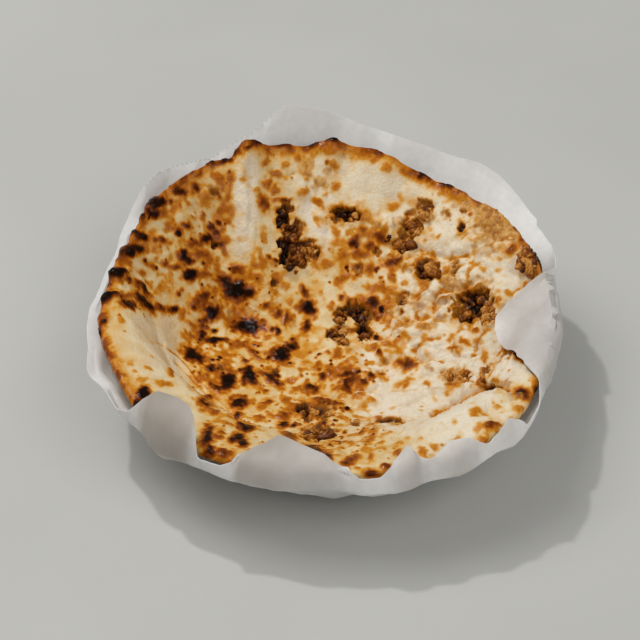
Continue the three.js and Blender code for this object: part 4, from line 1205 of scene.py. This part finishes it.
PAPER_TURNS = 480
cut_turns = np.arange(CUT_FROM, CUT_TO, tooth_turn / 2)
paper_turns = np.array(sorted({*even_turns(PAPER_TURNS), *cut_turns}))
PAPER_WAYS = [*np.linspace(0.15, 0.5, 6), *np.linspace(0.54, 1, 22), *np.linspace(1.03, 1.96, 30), 2.0]
teeth = np.abs(np.mod((paper_turns - CUT_FROM) / tooth_turn, 1) * 2 - 1)
teeth *= (paper_turns >= CUT_FROM) & (paper_turns <= CUT_TO)
paper_rings = []
for outer in (False, True):
    pole = np.array([0.0])
    side = [ring(pole, 0, sheet_place(0, pole, outer)[1])]
    side += [ring(paper_turns, *sheet_place(way, paper_turns, outer)) for way in PAPER_WAYS]
    last = side[-1][1]
    inwards = side[-2][1] - last
    last += inwards * (TOOTH_DEPTH * teeth / np.linalg.norm(inwards, axis=1))[:, None]
    paper_rings += side[::-1] if outer else side
paper_points, paper_faces = closed_skin(paper_rings)

# Where it laps in over the bread it has soaked up fat, which makes it duller and more see-through. The curl
# at the front left is darker still, which is painted shade, and the corner in front is partly fat and partly
# painted shade.
paper_azimuth = np.mod(np.degrees(np.arctan2(paper_points[:, 1], paper_points[:, 0])), TURN)
paper_rim = around(RIM_RADIUS, paper_azimuth)
lapped = smooth(paper_rim - edge_of_paper(paper_azimuth, 1), -2, 5)
# The curl at the front left is darkened: painted shade. The corner in front: partly fat, partly painted
# shade.
tongue_painted_shade = 0.5 * bell(turn_between(paper_azimuth, 227), 14)
front_grease_and_painted_shade = 0.25 * bell(turn_between(paper_azimuth, 252), 12)
above_wall = smooth(paper_points[:, 2] - around(RIM_HEIGHT, paper_azimuth), -12, -4)
greasy = lapped * above_wall * (0.4 + tongue_painted_shade + front_grease_and_painted_shade) * (1 + 0.3 * noise(paper_points, 9, 44))
paper = mesh_piece("greaseproof_sheet", paper_points, paper_faces, {"greasy": np.clip(greasy, 0, 1)})
paper.data.set_sharp_from_angle(angle=math.radians(SHARP_FOLD))

# Greaseproof paper: beaten wood pulp, thin, faintly see-through and slightly waxy, so it has a soft sheen.
# Its clouded fibre pattern is about 3 mm across, and its fine grain, 0.2 mm, is drawn at 0.6 mm so that it
# shows.
CLOUDS = 3.0
PAPER_GRAIN = 0.6
# The same darker colour stands for fat and for the painted shade in the curl and the front corner.
GREASE_AND_SHADE = "#B5ABA0"  # where fat has soaked in
SEE_THROUGH = 0.27  # share of the light that comes through the sheet
paper_material, tree = new_material("greaseproof_paper")
place = add(tree, "ShaderNodeTexCoord", {}, {})
clouds_grit = {"Scale": 1 / (CLOUDS * MM), "Detail": 5.0}
clouds = add(tree, "ShaderNodeTexNoise", clouds_grit, {"Vector": (place, "Object")})
grain = add(tree, "ShaderNodeTexNoise", {"Scale": 1 / (PAPER_GRAIN * MM)}, {"Vector": (place, "Object")})
sheet_colour = add(
    tree,
    "ShaderNodeValToRGB",
    {"stops": [(0.3, "#F0EFED"), (0.7, "#F8F7F5")]},
    {"Fac": (clouds, "Fac")},
)
grease_and_shade_field = add(tree, "ShaderNodeAttribute", {"attribute_name": "greasy"}, {})
grease_and_shade_colour = add(
    tree,
    "ShaderNodeMix",
    {"data_type": "RGBA", 7: linear(GREASE_AND_SHADE)},
    {0: (grease_and_shade_field, "Fac"), 6: (sheet_colour, "Color")},
)
grain_bump = add(tree, "ShaderNodeBump", {"Strength": 0.15, "Distance": 0.1 * MM}, {"Height": (grain, "Fac")})
paper_shader = add(
    tree,
    "ShaderNodeBsdfPrincipled",
    {
        "IOR": 1.45,
        "Specular IOR Level": 0.3,
        "Roughness": 0.5,
        "Subsurface Weight": 0.8,
        "Subsurface Radius": (1.0, 1.0, 1.0),
        "Subsurface Scale": 0.5 * MM,
    },
    {"Base Color": (grease_and_shade_colour, 2), "Normal": (grain_bump, "Normal")},
)
seen_through = add(tree, "ShaderNodeBsdfTranslucent", {}, {"Color": (grease_and_shade_colour, 2)})
thin_sheet = add(tree, "ShaderNodeMixShader", {0: SEE_THROUGH}, {1: (paper_shader, 0), 2: (seen_through, 0)})
add(tree, "ShaderNodeOutputMaterial", {}, {"Surface": (thin_sheet, 0)})
paper.data.materials.append(paper_material)
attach(paper, "root")
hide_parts("paper_liner")

# ---- The floor and the light ----
# A plain pale floor in a bright room. A big soft window is high on the left, a small bright gap in its
# blind gives the glints on what is oily, and the room in front of the bread throws some light back.
FLOOR_HALF = 3.0  # metres
floor_mesh = bpy.data.meshes.new("floor")
floor_corners = [(-FLOOR_HALF, -FLOOR_HALF, 0), (FLOOR_HALF, -FLOOR_HALF, 0)]
floor_corners += [(FLOOR_HALF, FLOOR_HALF, 0), (-FLOOR_HALF, FLOOR_HALF, 0)]
floor_mesh.from_pydata(floor_corners, [], [(0, 1, 2, 3)])
floor = bpy.data.objects.new("floor", floor_mesh)
bpy.context.scene.collection.objects.link(floor)
floor_material, tree = new_material("honed_pale_stone")
place = add(tree, "ShaderNodeTexCoord", {}, {})
clouding = add(tree, "ShaderNodeTexNoise", {"Scale": 6.0, "Detail": 3.0}, {"Vector": (place, "Object")})
floor_colour = add(
    tree,
    "ShaderNodeValToRGB",
    {"stops": [(0.3, "#BABAB6"), (0.7, "#C0C0BC")]},
    {"Fac": (clouding, "Fac")},
)
floor_shader = add(
    tree,
    "ShaderNodeBsdfPrincipled",
    {"Roughness": 0.7},
    {"Base Color": (floor_colour, "Color")},
)
add(tree, "ShaderNodeOutputMaterial", {}, {"Surface": (floor_shader, 0)})
floor_mesh.materials.append(floor_material)

# Lights: name, place in metres, size in metres, watts and colour. All of them face the bread.
LIT_POINT = Vector((0, 0, 0.04))
ROOM_COLOUR = (1.0, 0.995, 0.985)
ROOM_STRENGTH = 0.31
LIGHTS = [
    ("window", (-1.1, 0.3, 2.0), 1.2, 16.0, (1.0, 0.99, 0.97)),
    ("gap_in_the_blind", (-0.9, 0.8, 2.1), 0.1, 15.0, (1.0, 0.99, 0.97)),
    ("room", (1.2, -1.6, 1.8), 1.8, 22.6, ROOM_COLOUR),
]
for name, location, size, watts, colour in LIGHTS:
    data = bpy.data.lights.new(name, "AREA")
    data.size = size
    data.energy = watts
    data.color = colour
    light = bpy.data.objects.new(name, data)
    light.location = location
    light.rotation_euler = (LIT_POINT - Vector(location)).to_track_quat("-Z", "Y").to_euler()
    bpy.context.scene.collection.objects.link(light)
world = bpy.data.worlds.new("room")
world.use_nodes = True
world.node_tree.nodes["Background"].inputs["Color"].default_value = (*ROOM_COLOUR, 1)
world.node_tree.nodes["Background"].inputs["Strength"].default_value = ROOM_STRENGTH
bpy.context.scene.world = world
